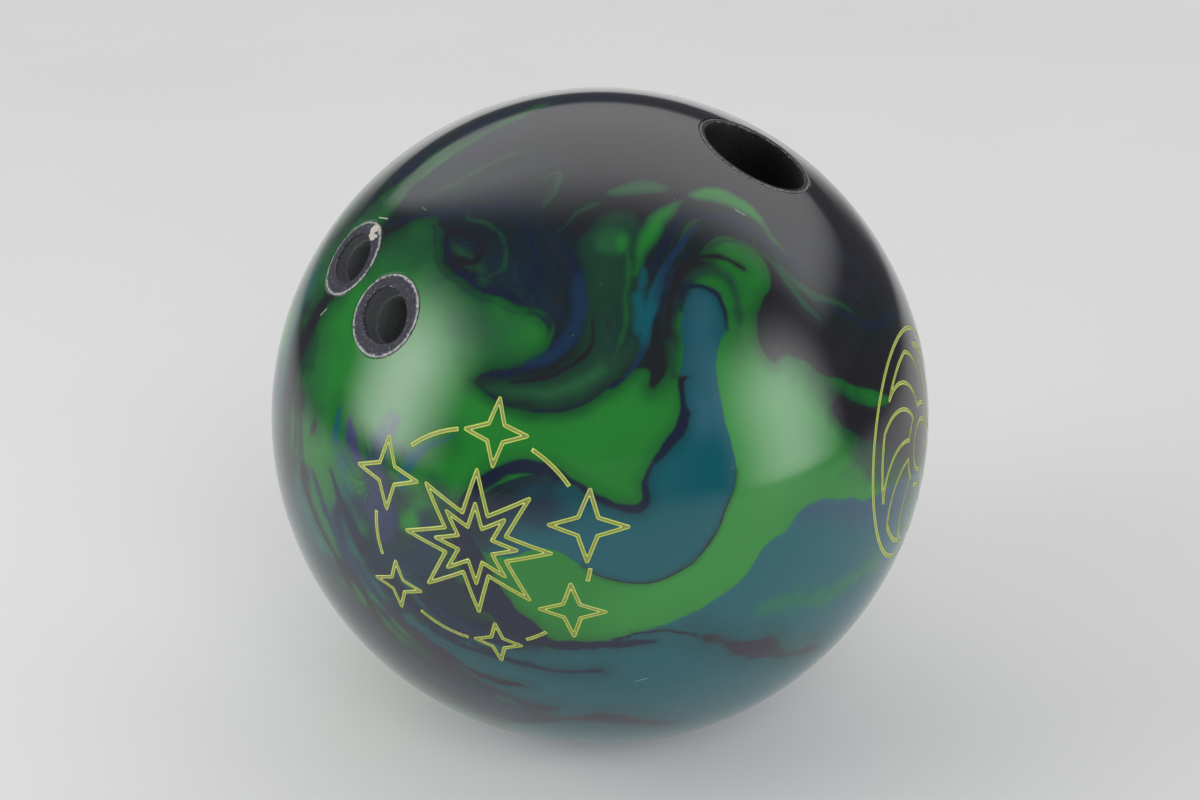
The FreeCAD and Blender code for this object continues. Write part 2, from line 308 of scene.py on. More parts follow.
FRONT = around(facing(0, VIEW_ELEVATION), facing(180, 90 - VIEW_ELEVATION))
REAR = around(-FRONT[2], FRONT[1])
STROKES = []


def pour(layer, colour, soft, ragged, points, axes=FRONT):
    """A shape with an edge of its own: soft is half the edge's width and ragged how far it wanders."""
    STROKES.append(Stroke(layer, colour, soft, ragged, 1.0, True, axes, points))


def stain(layer, colour, soft, ragged, strength, points, axes=FRONT):
    """A tint laid over one layer's colour, without an edge."""
    STROKES.append(Stroke(layer, colour, soft, ragged, strength, False, axes, points))


def comb(strength, soft, points, axes=FRONT):
    """A zone where thin threads run along the nearest edges."""
    STROKES.append(Stroke("swirl", NIGHT, soft, 1.5, strength, False, axes, points))


# The green field, with its lighter and darker parts.
stain("base", LEAF, 6, 1, 0.7, [(24, -2, 9), (20, -20, 8), (6, -30, 6)])
stain("base", MOSS, 5, 1.5, 0.8, [(-50, 32, 6), (-38, 31, 6), (-30, 29, 6), (-22, 22, 3), (-17, 12, 2)])
stain("base", FERN, 2, 1, 0.9, [(-48, 38, 1), (-40, 40, 2), (-35, 45, 1.5), (-27, 52, 1.5), (-18, 60, 1)])
# The next three bands darken the cover towards its upper-left edge: partly its own colours and partly painted
# shade.
stain("base", MOSS, 3, 1, 1.0, [
    (-58, 34, 3), (-50, 44, 3), (-42, 52, 4), (-32, 60, 5), (-20, 68, 6), (-10, 76, 6),
])
stain("base", DEEP, 2.5, 1.5, 1.0, [
    (-54, 36, 2), (-47, 45, 4), (-42, 52, 5), (-34, 58, 5), (-24, 63, 6), (-10, 72, 6),
])
stain("base", NIGHT, 2, 2, 0.9, [
    (-66, 24, 2), (-60, 36, 2), (-52, 48, 3), (-42, 60, 4), (-28, 68, 5), (-12, 78, 6),
])
stain("base", FERN, 3, 1.5, 0.5, [(-50, 12, 3), (-50, 0, 3)])
stain("base", FERN, 4, 1.5, 0.6, [(-26, 22, 2), (-18, 14, 4), (-13, 12, 3)])
stain("base", FERN, 1, 0.6, 0.4, [(-43, 40, 0.6), (-37, 45.5, 1), (-30, 50, 1), (-22, 56, 0.6)])
stain("base", MOSS, 3, 2, 0.8, [(-62, -8, 3), (-60, -20, 3), (-54, -36, 4), (-40, -50, 4)])
stain("base", FERN, 3, 2, 0.8, [(-54, 18, 2), (-55, 10, 3), (-54, 2, 2)])
stain("base", MOSS, 3, 1.5, 0.7, [(34, 6, 2), (40, 1, 3), (44, -6, 3), (54, -9, 4), (70, -10, 5)])
stain("base", SLATE, 3, 1, 0.7, [(38, 4, 1), (44, 0, 2), (48, -6, 3), (58, -9, 4), (70, -10, 5)])
stain("base", LAGOON, 5, 2, 0.8, [(-62, -12, 4), (-56, -22, 5), (-52, -30, 4)])
# This band darkens the cover towards its left and lower edge: partly its own colour and partly painted shade.
stain("base", PLUM, 6, 3, 0.9, [
    (-70, 4, 5), (-66, -14, 4), (-60, -38, 6), (-48, -46, 9), (-36, -56, 8), (-20, -66, 8),
])
stain("base", LAGOON, 3, 2, 0.9, [(-44, -9, 1.5), (-44, -18, 3), (-42, -28, 4), (-39, -36, 3)])
stain("base", INK, 2.5, 2, 0.9, [(-35, -10, 3), (-36, -18, 5), (-33, -27, 7), (-27, -32, 8), (-20, -36, 6)])
stain("base", INK, 3, 2, 0.8, [(-24, -14, 3), (-25, -22, 4), (-24, -30, 5)])
stain("base", INK, 3, 2, 0.95, [
    (-54, -32, 4), (-47, -40, 5), (-38, -47, 6), (-29, -53, 6), (-19, -58, 6), (-8, -63, 5),
])
stain("base", VIOLET, 2, 2, 0.6, [(-50, -30, 1.5), (-42, -42, 2), (-30, -50, 2), (-16, -57, 2)])
stain("base", BLUE, 2, 2, 0.8, [(-28, -19, 2), (-30, -26, 2), (-37, -27, 3), (-31, -37, 2.5)])
# The next three bands darken the cover towards its left edge: partly its own colours and partly painted
# shade.
stain("base", TEAL, 3, 2, 0.85, [(-60, 30, 2), (-64, 16, 3), (-68, 2, 4), (-70, -14, 5), (-66, -30, 5)])
stain("base", INK, 3, 3, 0.9, [
    (-72, 14, 2), (-76, -4, 5), (-74, -26, 6), (-64, -44, 6), (-48, -60, 6), (-28, -74, 5),
])
stain("base", NIGHT, 2, 1.5, 0.85, [(-60, 20, 1.5), (-62, 10, 2.5), (-63, 0, 2.5), (-64, -12, 2)])
stain("base", VIOLET, 1.5, 1.5, 0.8, [
    (-30, 0.5, 0.5), (-33, -2, 1.5), (-36, -6, 2), (-37, -12, 2.5), (-36, -18, 3),
])

# The dark crown, its arm down the middle and the mass on the right.
pour("dark", NIGHT, 0.35, 0.2, [
    (-38.5, 35), (-37, 39.5), (-35, 42.5), (-30, 46.5), (-25, 51), (-20, 55), (-14, 59), (-9, 66), (-4, 76),
    (10, 84), (30, 78), (55, 70), (72, 50), (80, 25), (80, 0), (68, -10), (60, -8), (52, -6), (46, -4),
    (42, -2.5), (39, -0.5), (38, 2), (40, 3.2), (45, 2), (51, 1.5), (53, 3), (48, 4.6), (44, 4.8),
    (40, 6.2), (36, 6.6), (33, 8.6), (30, 9.7), (28.5, 9.3), (27.2, 8.1), (25.6, 9.5), (24.8, 12),
    (24.6, 15), (25.5, 18), (27.2, 21), (26.6, 24.5), (24, 27.4), (21, 28.9), (18, 27.8), (16, 25),
    (14.2, 22), (12, 20), (11, 17), (10.4, 13), (10.6, 9.5), (9.8, 6), (7.6, 3.4), (7.4, 6), (6, 6.6),
    (3.5, 5.5), (0, 2.8), (-4, 0.9), (-9, 0.6), (-13.5, 1.6), (-17, 3.5), (-19, 5.3), (-16, 6.8),
    (-12, 7.1), (-9, 8.6), (-7.2, 11.5), (-8, 14.6), (-12, 16.6), (-15.5, 18.4), (-19, 19.6), (-22, 21.8),
    (-24.6, 24.6), (-25.5, 28), (-26.5, 32), (-29, 35.2), (-33, 34.3),
])
stain("dark", SLATE, 3, 1.5, 0.9, [(-28, 38, 4), (-18, 30, 6), (-9, 24, 7), (-4, 14, 4)])
stain("dark", TEAL, 3, 1.5, 0.3, [(-16, 24, 1.5), (-12, 20, 2), (-9, 15, 1)])
stain("dark", INK, 2, 1, 0.8, [(-37, 38, 1), (-32, 43, 2), (-26, 48, 2.5), (-18, 54, 2)])
stain("dark", INK, 3, 1, 0.7, [(-14, 62, 2), (0, 66, 3), (16, 70, 3)])
stain("dark", MOSS, 1.2, 0.8, 0.95, [
    (-19, 5.3), (-12, 5.6), (-6.5, 6.6), (-3.5, 10), (-2.2, 16), (-3, 22), (-2, 28), (0, 31), (4, 31),
    (6, 27), (5.4, 18), (6.4, 11), (4, 6), (-1, 2.4), (-9, 0.8), (-16, 3),
])
stain("dark", MOSS, 1, 0.6, 0.7, [(-32, 37.5, 0.6), (-28, 40, 0.8), (-24, 41, 0.5)])
stain("dark", INK, 1.5, 1.5, 0.8, [(-16, 36, 1.5), (-13, 30, 1), (-12, 24, 1.5), (-9, 20, 2)])
stain("dark", BLUE, 1.2, 1.2, 0.5, [(-12, 22, 0.8), (-10, 19.5, 1.2), (-8, 17, 0.6)])
stain("dark", FERN, 0.8, 0.5, 0.7, [(-24, 27.5, 0.4), (-21.5, 25, 1), (-18.5, 22.5, 0.5)])
stain("dark", SLATE, 2, 1, 0.8, [(33, 31, 1), (40, 30, 1.5), (47, 28, 1.5), (52, 24, 0.5)])
stain("dark", PLUM, 1.5, 1, 0.5, [(34, 28, 0.4), (38, 25.5, 0.8), (42, 22.8, 0.8), (47, 23, 0.3)])

# Navy streaks round the finger holes and the left edge.
pour("dark", NIGHT, 0.5, 0.3, [(-39.5, 33.2, 1.3), (-36, 33.7, 0.8), (-33, 34.8, 0.5), (-28, 35.3, 0.15)])
pour("dark", NIGHT, 0.8, 0.4, [
    (-48, 23, 0.6), (-52, 21, 1.6), (-56, 16.5, 2.2), (-59.5, 11, 1.9), (-62, 4, 1), (-63, 0, 0.3),
])
stain("dark", INK, 1, 0.5, 0.7, [(-50, 23, 0.5), (-55, 18.5, 0.7), (-59, 11, 0.6)])
pour("dark", INK, 1, 0.5, [
    (-40.5, 44.5, 0.6), (-39, 48, 2.3), (-35, 52, 2.2), (-29, 55, 1.2), (-22, 60, 2), (-12, 66, 3),
])
pour("dark", PLUM, 1.2, 0.6, [(-63, 4, 0.5), (-64.5, -2, 1), (-67, -10, 1.5), (-68, -20, 1)])

pour("thread", NIGHT, 0.5, 0.4, [
    (-39.5, 33.2, 1.2), (-36, 33.7, 0.9), (-33, 34.8, 0.6), (-28, 35.6, 0.4), (-24, 36.5, 0.1),
])
pour("thread", NIGHT, 0.8, 0.5, [
    (-49, 22.5, 0.5), (-52, 20.5, 1.2), (-55.6, 16.5, 1.7), (-58.6, 11, 1.5), (-60.6, 4, 0.9),
    (-61.6, -2, 0.2),
])

# Lower-left spiral of ink.
pour("thread", INK, 0.6, 0.5, [(-31, -30, 0.5), (-24, -35, 2), (-15, -37, 2.2), (-7, -37.5, 0.8)])
stain("thread", BLUE, 1.2, 1.0, 0.8, [(-28, -33, 0.5), (-20, -36.5, 0.8), (-12, -37.5, 0.4)])
stain("base", LAGOON, 2, 2, 0.8, [(-33, -28, 1), (-28, -36, 2), (-20, -40, 1.5)])
pour("thread", INK, 0.7, 0.4, [
    (-46, -15, 0.3), (-47, -20, 1.2), (-46.5, -26, 1.4), (-44.5, -32, 1.2), (-42, -38, 1.4),
])
pour("thread", VIOLET, 0.7, 0.3, [(-42, -0.5, 0.3), (-42.2, -3, 1), (-41.3, -6, 0.8), (-40.5, -8.5, 0.2)])
pour("thread", BLUE, 0.6, 0.3, [
    (-55.3, 5, 0.2), (-56, 0, 0.7), (-56.3, -4, 0.8), (-56, -8, 0.6), (-55.4, -11, 1.3), (-55, -12.8, 0.3),
])
pour("thread", TEAL, 0.5, 0.3, [(-44.4, 1.2, 0.2), (-45, -1, 0.5), (-45.8, -3.6, 0.4), (-45.6, -5, 0.1)])
pour("thread", SLATE, 0.6, 0.5, [(-51, -1.3, 0.3), (-52, -2.6, 0.9), (-53, -3.8, 0.3)])
pour("thread", TEAL, 0.6, 0.3, [(-22.5, -3.3, 0.1), (-27, -4.8, 0.5), (-30, -7.5, 0.8), (-32, -11, 1)])

pour("thread", DEEP, 0.8, 0.5, [(-56, 9, 0.3), (-57.5, 3, 0.8), (-58.5, -3, 0.9), (-59.5, -10, 0.4)])
pour("thread", NIGHT, 0.7, 0.5, [
    (-50, -24, 0.2), (-48, -32, 0.8), (-43, -39, 1), (-36, -45, 0.9), (-28, -50, 0.4),
])

pour("thread", NIGHT, 0.6, 0.5, [
    (-59.2, 8.8, 0.3), (-57.7, -4.7, 0.6), (-55.2, -16, 0.8), (-48.7, -27, 1), (-37, -39.7, 0.8),
    (-26, -50, 0.3),
])
pour("thread", BLUE, 0.6, 0.5, [
    (-53, -10, 0.3), (-49.3, -19, 0.7), (-45, -26.3, 0.9), (-39.9, -33.5, 0.7), (-32.7, -41, 0.3),
])
pour("thread", INK, 0.6, 0.5, [
    (-47.6, -9.7, 0.4), (-44.6, -16.6, 1), (-40.2, -25.3, 1.2), (-32.8, -32, 1.2), (-26, -39.2, 1),
    (-17.2, -42, 0.4),
])
pour("thread", NIGHT, 0.5, 0.5, [(-36, -36, 0.2), (-28, -43, 0.8), (-20, -47.6, 0.7), (-13, -49, 0.2)])
pour("thread", INK, 0.5, 0.4, [(-26, -37.5, 0.2), (-17, -41.5, 0.6), (-7, -43.5, 0.4), (0, -43, 0.1)])

# The teal hook.
pour("teal", TEAL, 0.14, 0.1, [
    (12.4, 8), (12.2, 13), (12.5, 16.5), (13.4, 18.7), (15.6, 19.4), (18, 18.4), (19.4, 16), (19.5, 13.2),
    (18.4, 10.6), (17.5, 8), (17.3, 5), (17.8, 2), (18.6, -1), (19.8, -5), (20.4, -8.5), (20, -12),
    (18.4, -17), (15.5, -21), (12, -23.8), (8, -25.3), (4, -25.4), (0, -24.6), (-3, -23), (-6.5, -20.8),
    (-10, -20.5), (-14, -22), (-18.5, -21), (-20, -16), (-17.5, -11.5), (-13, -9.2), (-9, -8.6), (-5, -9.8),
    (-1.5, -12), (2, -13.6), (4.5, -14.2), (6.6, -13.8), (6.8, -11.5), (6.6, -9.5), (8.5, -6.3), (10.8, -4),
    (12.3, -2), (12.3, 1), (11.8, 4.5),
])
stain("teal", SKY, 4, 1, 0.7, [(15, 16, 2), (15, 8, 2), (15, 0, 2)])
stain("teal", INK, 4, 1, 0.9, [(-8, -13, 3), (-14, -13, 4), (-18, -17, 4)])
stain("teal", NIGHT, 2, 1, 0.7, [(-6, -9, 0.5), (-12, -9.5, 1.5), (-17, -13, 2), (-19, -18, 2)])

# The teal pool below and on the right.
pour("teal", LAGOON, 0.3, 0.2, [
    (-35, -35), (-30, -37.6), (-24, -38.5), (-18, -38.5), (-12, -38), (-5, -38), (0, -37), (6, -35),
    (12, -33), (17, -30.4), (20.5, -28), (24, -25), (25.5, -22), (27.5, -20), (30, -18.7), (31.5, -16.6),
    (34, -14.9), (38, -14.1), (43, -14.2), (50, -15), (58, -13), (72, -12), (84, -20), (80, -45), (55, -70),
    (20, -82), (-10, -78), (-20, -66), (-8, -60), (-9, -56), (-16, -55), (-22, -51), (-28, -46), (-33, -41),
])
stain("teal", VIOLET, 3, 1, 0.5, [(34, -16, 1.5), (42, -16, 2), (52, -17, 3), (64, -16, 4)])
stain("teal", TEAL, 8, 2, 0.5, [(-16, -42, 3), (0, -45, 5), (14, -42, 4)])
stain("teal", GREEN, 2.5, 1.5, 0.5, [
    (28, -33, 0.5), (34, -32, 1.5), (42, -34, 1.5), (52, -30, 1), (62, -30, 1),
])
stain("teal", FERN, 2, 1.5, 0.6, [(31, -41, 1), (35, -44, 1.5), (40, -42, 1)])

# The hood over the hook's top.
pour("thread", MOSS, 0.9, 0.5, [
    (11, 6, 0.4), (10.6, 13, 1), (11, 17.5, 1.3), (13, 21, 1.6), (16.5, 22.6, 1.3), (19.8, 21, 0.9),
    (21.4, 17, 0.5), (21.3, 12, 0.1),
])
pour("thread", NIGHT, 0.5, 0.3, [
    (9.6, 12, 0.1), (10, 17, 0.4), (11.5, 21, 0.6), (15, 24.2, 0.6), (19, 24.8, 0.5), (23, 23, 0.1),
])

# Dark smudges and lines in the pool.
pour("thread", PLUM, 0.8, 0.6, [
    (16, -36.2, 0.3), (20, -38, 0.7), (24, -40.5, 1.1), (28, -41.5, 2.3), (31, -43, 1.6), (34, -45.5, 0.5),
    (38, -46.5, 0.6), (42, -47, 1.4), (45, -49, 0.3),
])
pour("thread", NIGHT, 0.2, 0.1, [
    (2, -36.4, 0.1), (6, -35.3, 0.2), (10, -35, 0.22), (14, -35.7, 0.2), (18, -36.8, 0.1),
])
pour("thread", PLUM, 0.7, 0.5, [
    (-38, -35, 0.5), (-35, -38.5, 1), (-31, -42.6, 1.3), (-26, -47, 1.5), (-21, -50.5, 1.2), (-16, -53, 1),
    (-11, -55, 1.3), (-8, -54.3, 0.4),
])
pour("thread", PLUM, 0.8, 0.5, [
    (-13, -57.5, 0.3), (-5, -58, 0.6), (1, -57.6, 1.6), (7, -59.5, 1.5), (14, -62.5, 0.4),
])

# The line round the hook: a hair on its outer side, torn and heavy on its inner side.
pour("thread", INK, 0.3, 0.05, [
    (19.6, 13, 0.15), (19.5, 15.6, 0.35), (18.2, 18.2, 0.4), (15.6, 19.6, 0.35), (13, 19, 0.25),
    (12, 16, 0.2),
])
pour("thread", NIGHT, 0.12, 0.03, [
    (20.4, -8, 0.06), (20, -12, 0.12), (18.4, -17, 0.14), (15.5, -21, 0.16), (12, -23.8, 0.16),
    (8, -25.3, 0.17), (4, -25.4, 0.15), (0, -24.6, 0.13), (-3, -23, 0.1),
])
pour("thread", NIGHT, 0.3, 0.25, [(13.9, 6, 0.1), (12.4, 5.2, 0.6), (12.4, 2, 0.5), (12.9, 0, 0.4)])
pour("thread", INK, 0.3, 0.3, [
    (12.4, 3, 0.5), (12.2, 0, 0.7), (11.4, -2.6, 0.9), (9.4, -5, 0.7), (7.6, -7.6, 0.45), (6.7, -10, 0.45),
    (6.9, -12.3, 0.7), (5.6, -13.9, 0.8), (2.5, -13.4, 0.45), (-1, -11.7, 0.45), (-4, -9.6, 0.6),
    (-7, -8, 1), (-11, -7.2, 1.1), (-15, -8.2, 1.1), (-18.5, -10.8, 1.3), (-20.6, -15, 1.5), (-21, -20, 2),
    (-19.5, -25, 2.6), (-16.8, -30, 2.8), (-13, -34, 2.2), (-8, -36.8, 1.2), (-2, -37.7, 0.8),
    (4, -37.3, 0.7), (9, -36.8, 0.1),
])

# Green that lies over the dark.
pour("green", FERN, 0.35, 0.2, [
    (1, 36.2), (3, 38), (6, 39.3), (9, 38.9), (12, 37.6), (10, 36.6), (6, 36), (3, 35.7),
])
pour("green", GREEN, 0.3, 0.2, [
    (14.5, 36.3), (17, 38), (20, 38.6), (23, 37.6), (26, 36), (28, 33), (29.5, 29.5), (31.5, 26),
    (28.5, 28.5), (26.6, 31.6), (24, 33.7), (21, 34.6), (18, 35), (15.5, 35.4),
])
pour("green", FERN, 0.5, 0.2, [
    (-1.4, 27), (-0.6, 29.3), (1.5, 30.2), (4, 29.4), (5, 27), (4.2, 24.8), (1.5, 24.3), (-0.6, 25),
])
pour("green", GREEN, 0.4, 0.2, [(4, 27, 0.5), (4, 22, 0.7), (3.8, 17, 0.6), (3.2, 12, 0.4), (2, 8, 0.2)])
pour("green", FERN, 0.5, 0.3, [
    (-17, 4), (-12, 4.9), (-7, 4.6), (-3, 6.5), (0, 9), (2, 6), (-2, 3), (-7, 1.8), (-12, 2.2),
])
pour("green", GREEN, 0.35, 0.2, [
    (5, 21, 0.6), (6.4, 26, 1.3), (9, 30.3, 1.5), (12, 33.6, 0.9), (14, 35.2, 0.15),
])
pour("green", FERN, 0.25, 0.1, [(9.6, 21, 0.1), (12.5, 27.2, 0.35), (15, 30.8, 0.45), (17.5, 33, 0.1)])
pour("green", FERN, 0.4, 0.15, [
    (15, 22.5, 0.3), (16.6, 26, 0.5), (19.4, 28.1, 0.5), (22.5, 28.2, 0.4), (25.5, 26.6, 0.4),
    (28.5, 24.4, 0.5), (30.5, 21.8, 0.6), (33, 18.6, 0.5), (36.5, 15.5, 0.1),
])
pour("green", FERN, 0.35, 0.2, [
    (28, 27, 0.1), (30, 23.6, 0.4), (33, 21.2, 0.7), (36, 20, 0.9), (39.5, 19.3, 0.8), (43, 18.7, 0.5),
    (46, 17.6, 0.1),
])

# Blue and violet ribbons.
pour("thread", BLUE, 0.35, 0.15, [
    (2, 3.8, 0.2), (5, 6.8, 0.4), (6.4, 10, 0.6), (7.2, 15, 0.8), (8.4, 19, 0.8), (10.4, 23.4, 0.7),
    (13, 27.3, 0.5), (15.4, 30, 0.3),
])
pour("thread", TEAL, 0.9, 0.5, [(5.6, 12.5, 0.2), (5.8, 15, 0.7), (5.6, 18, 0.4), (6.4, 22, 0.2)])
pour("thread", INK, 0.3, 0.15, [(7.8, 22.5, 0.3), (10.5, 27.5, 0.5), (13.6, 32, 0.5), (17, 34, 0.2)])
pour("thread", INK, 0.5, 0.2, [
    (14.6, 31.5, 0.2), (18.5, 32.9, 0.7), (22, 32.2, 0.9), (26, 29.8, 0.9), (29.4, 26.8, 0.8),
    (32.5, 24.8, 1), (35, 24, 0.9), (37.5, 23, 0.1),
])
pour("thread", INK, 0.8, 0.3, [
    (36, 19, 0.15), (40, 18, 0.35), (44, 17, 0.4), (47.5, 16.2, 0.7), (52, 17, 0.7), (57, 19.4, 0.5),
    (62, 20, 0.2),
])
pour("thread", INK, 0.6, 0.3, [
    (-6.4, 27, 0.3), (-3.8, 22, 0.9), (-3.2, 16.5, 1.2), (-4.2, 12.4, 1.3), (-7, 9.2, 1.2), (-11, 7, 0.8),
    (-15.5, 6.1, 0.5), (-19.2, 5.4, 0.1),
])
pour("thread", BLUE, 0.6, 0.3, [
    (-3.2, 20, 0.1), (-2.9, 16.5, 0.3), (-3.8, 12.6, 0.4), (-6.4, 9.6, 0.3), (-10, 7.8, 0.1),
])
pour("thread", NIGHT, 0.3, 0.2, [
    (-1, 14, 0.1), (-1.6, 10.5, 0.4), (-4.4, 7.2, 0.5), (-8.5, 5.4, 0.5), (-13, 5, 0.15),
])
pour("thread", INK, 0.25, 0.1, [
    (-19, 5.2, 0.08), (-16.6, 3.2, 0.12), (-13, 1.4, 0.12), (-8.5, 0.5, 0.15), (-4, 0.9, 0.14),
    (-0.5, 2.6, 0.15), (3, 5.2, 0.3),
])
pour("thread", INK, 0.4, 0.4, [
    (-25.4, 29, 0.3), (-24, 25.5, 0.6), (-21.5, 22.2, 0.6), (-18.3, 20, 1), (-15, 18.6, 0.9),
    (-12, 17, 0.8),
])
pour("thread", SLATE, 0.6, 0.3, [
    (-7.8, 39, 0.1), (-9, 35, 0.4), (-10.4, 31, 0.4), (-10.6, 28, 0.5), (-9, 25, 0.2),
])

# Filaments drawn out of the dark.
pour("thread", MOSS, 0.4, 0.3, [(-38, 37.8, 0.1), (-27.7, 40, 0.35), (-17.7, 45.5, 0.4), (-11.8, 47, 0.1)])
pour("thread", SLATE, 0.5, 0.3, [(-35, 37.9, 0.2), (-22.7, 38, 0.4), (-14, 41.7, 0.4), (-7.8, 42, 0.1)])
pour("thread", INK, 0.4, 0.3, [(-39, 35.3, 0.2), (-28.5, 34.5, 0.4), (-19, 34.6, 0.5), (-12, 34, 0.2)])
pour("thread", INK, 0.6, 0.4, [
    (-16.7, 37, 0.2), (-13.3, 31.6, 0.6), (-10.4, 26.8, 0.8), (-9.6, 21, 0.8), (-11.3, 17, 0.3),
])
pour("thread", NIGHT, 0.4, 0.4, [
    (-25, 30, 0.3), (-22.4, 30.3, 0.5), (-18.5, 27.4, 0.6), (-19.5, 24, 0.5), (-23, 25, 0.2),
])
pour("thread", MOSS, 0.4, 0.3, [
    (-22, 33, 0.2), (-18, 31, 0.4), (-15, 27, 0.4), (-15, 23, 0.3), (-18, 21, 0.1),
])
pour("thread", MOSS, 0.4, 0.2, [(-9.8, 39, 0.2), (-7, 40.5, 0.3), (-7.5, 36.2, 0.5), (-9.5, 33, 0.2)])
pour("thread", SLATE, 0.4, 0.2, [(-11, 36.4, 0.2), (-9.7, 30.6, 0.3), (-7, 26, 0.35), (-5, 22, 0.1)])
pour("thread", MOSS, 0.4, 0.2, [(-6.6, 29, 0.2), (-2.9, 32.6, 0.4), (-0.2, 34, 0.2)])

# Where the colours are drawn out into threads.
comb(0.8, 3.0, [(-30, 40, 3), (-22, 34, 6), (-14, 28, 8), (-8, 19, 5), (-6, 12, 1)])
comb(0.5, 2.5, [(-26, 28, 3), (-20, 21, 3), (-12, 17, 2)])
comb(0.6, 2.5, [(0, 8, 2), (6, 18, 3.5), (12, 28, 4), (22, 30, 3), (34, 24, 3), (46, 20, 2)])
comb(0.3, 3.0, [(-58, 24, 2), (-60, 8, 3), (-62, -12, 4), (-60, -24, 4)])
comb(0.7, 4.0, [(-58, -30, 6), (-46, -44, 8), (-30, -52, 7)])
comb(0.7, 4.0, [(-38, -4, 2), (-40, -16, 5), (-36, -28, 8), (-26, -36, 7), (-14, -36, 2)])
comb(0.4, 2.0, [(-12, -9, 1), (-18, -14, 2), (-19, -22, 3), (-14, -32, 3)])
comb(0.7, 3.0, [(-44, 42, 3), (-36, 50, 4), (-26, 58, 4), (-10, 66, 4)])

# The far side, poured in the same way: the dark and the pool run on round both edges.
pour("dark", NIGHT, 0.4, 0.3, [
    (-106, 30), (-100, 55), (-80, 78), (-45, 88), (-15, 78), (4, 64), (16, 52), (27, 40), (32, 26),
    (27, 17), (18, 17), (13, 26), (4, 34), (-8, 36), (-17, 30), (-21, 19), (-16, 8), (-20, -1), (-32, -5),
    (-44, 0), (-52, 8), (-60, 10), (-66, 3), (-76, -4), (-90, -9), (-104, -10),
], REAR)
stain("dark", SLATE, 4, 1.5, 0.9, [(-20, 56, 6), (-4, 50, 5), (10, 42, 4)], REAR)
stain("dark", INK, 3, 1, 0.8, [(-46, 8, 3), (-34, 2, 3), (-24, 6, 3), (-24, 20, 3)], REAR)
stain("dark", MOSS, 2, 1, 0.9, [(-60, 20, 1), (-52, 30, 2.5), (-40, 34, 2), (-32, 26, 1)], REAR)
pour("teal", LAGOON, 0.3, 0.2, [
    (-108, -14), (-92, -15), (-74, -17), (-58, -24), (-44, -21), (-30, -29), (-15, -33), (-2, -28),
    (10, -33), (12, -45), (24, -56), (42, -62), (46, -76), (10, -98), (-50, -95), (-90, -70), (-106, -40),
], REAR)
stain("teal", TEAL, 6, 2, 0.7, [(-80, -30, 4), (-50, -36, 6), (-20, -46, 6), (6, -56, 4)], REAR)
stain("teal", VIOLET, 3, 1, 0.5, [(-70, -22, 2), (-54, -28, 3), (-36, -30, 2)], REAR)
pour("teal", TEAL, 0.16, 0.1, [
    (30, -6), (38, 2), (43, 12), (50, 21), (58, 24), (64, 20), (61, 13), (53, 8), (49, -2), (43, -12),
    (32, -20), (18, -21), (6, -15), (1, -6), (4, 2), (10, 3), (15, -4), (22, -8),
], REAR)
stain("teal", SKY, 4, 1, 0.6, [(56, 18, 2), (46, 6, 2)], REAR)
stain("base", LEAF, 6, 1, 0.7, [(20, 4, 8), (34, 30, 6), (66, 0, 8)], REAR)
stain("base", FERN, 4, 2, 0.8, [(54, 40, 5), (40, 52, 5), (20, 66, 4)], REAR)
stain("base", LAGOON, 4, 2, 0.8, [(78, 6, 3), (70, -16, 5), (58, -34, 6)], REAR)
stain("base", PLUM, 5, 3, 0.8, [(88, -20, 5), (74, -38, 6), (56, -50, 5)], REAR)
pour("thread", INK, 0.4, 0.3, [
    (60, 26, 0.2), (50, 23.5, 0.8), (42, 14, 1), (36, 3, 0.7), (29, -5, 1.1), (21, -7, 0.8), (14, -2, 1),
    (9, 4, 1.3), (1, 3, 1.6), (-4, -6, 1.9), (0, -18, 2), (10, -25, 1.6), (24, -27, 0.9), (40, -24, 0.2),
], REAR)
pour("thread", PLUM, 0.9, 0.5, [
    (-60, -40, 0.3), (-46, -44, 1.4), (-32, -42, 2.2), (-18, -50, 1.4), (-4, -58, 1.8), (14, -66, 0.4),
], REAR)
pour("thread", PLUM, 0.9, 0.5, [
    (84, 30, 0.4), (74, 36, 1.8), (60, 44, 1.2), (48, 58, 2), (30, 68, 1.2), (12, 80, 2),
], REAR)
pour("green", GREEN, 0.35, 0.2, [
    (-56, 14, 0.3), (-48, 20, 1.2), (-38, 22, 1.8), (-30, 30, 1.4), (-20, 42, 1.6), (-6, 46, 0.9),
    (4, 44, 0.2),
], REAR)
pour("green", FERN, 0.4, 0.2, [
    (-84, 8, 0.3), (-70, 18, 1.2), (-62, 30, 1.4), (-50, 42, 1), (-34, 50, 0.4),
], REAR)
pour("thread", BLUE, 0.4, 0.2, [
    (-58, 11, 0.3), (-50, 16, 0.8), (-40, 18, 1), (-29, 25, 0.9), (-18, 38, 0.8), (-4, 42, 0.4),
], REAR)
pour("thread", VIOLET, 0.6, 0.2, [(-80, 22, 0.3), (-68, 32, 0.7), (-56, 44, 0.8), (-40, 56, 0.3)], REAR)
comb(0.9, 4.0, [(-60, 20, 4), (-44, 22, 7), (-28, 34, 7), (-10, 44, 5)], REAR)
comb(0.7, 4.0, [(84, 10, 5), (76, -14, 7), (62, -36, 7), (44, -48, 4)], REAR)
comb(0.6, 3.0, [(4, -4, 3), (-2, -16, 4), (12, -26, 3)], REAR)


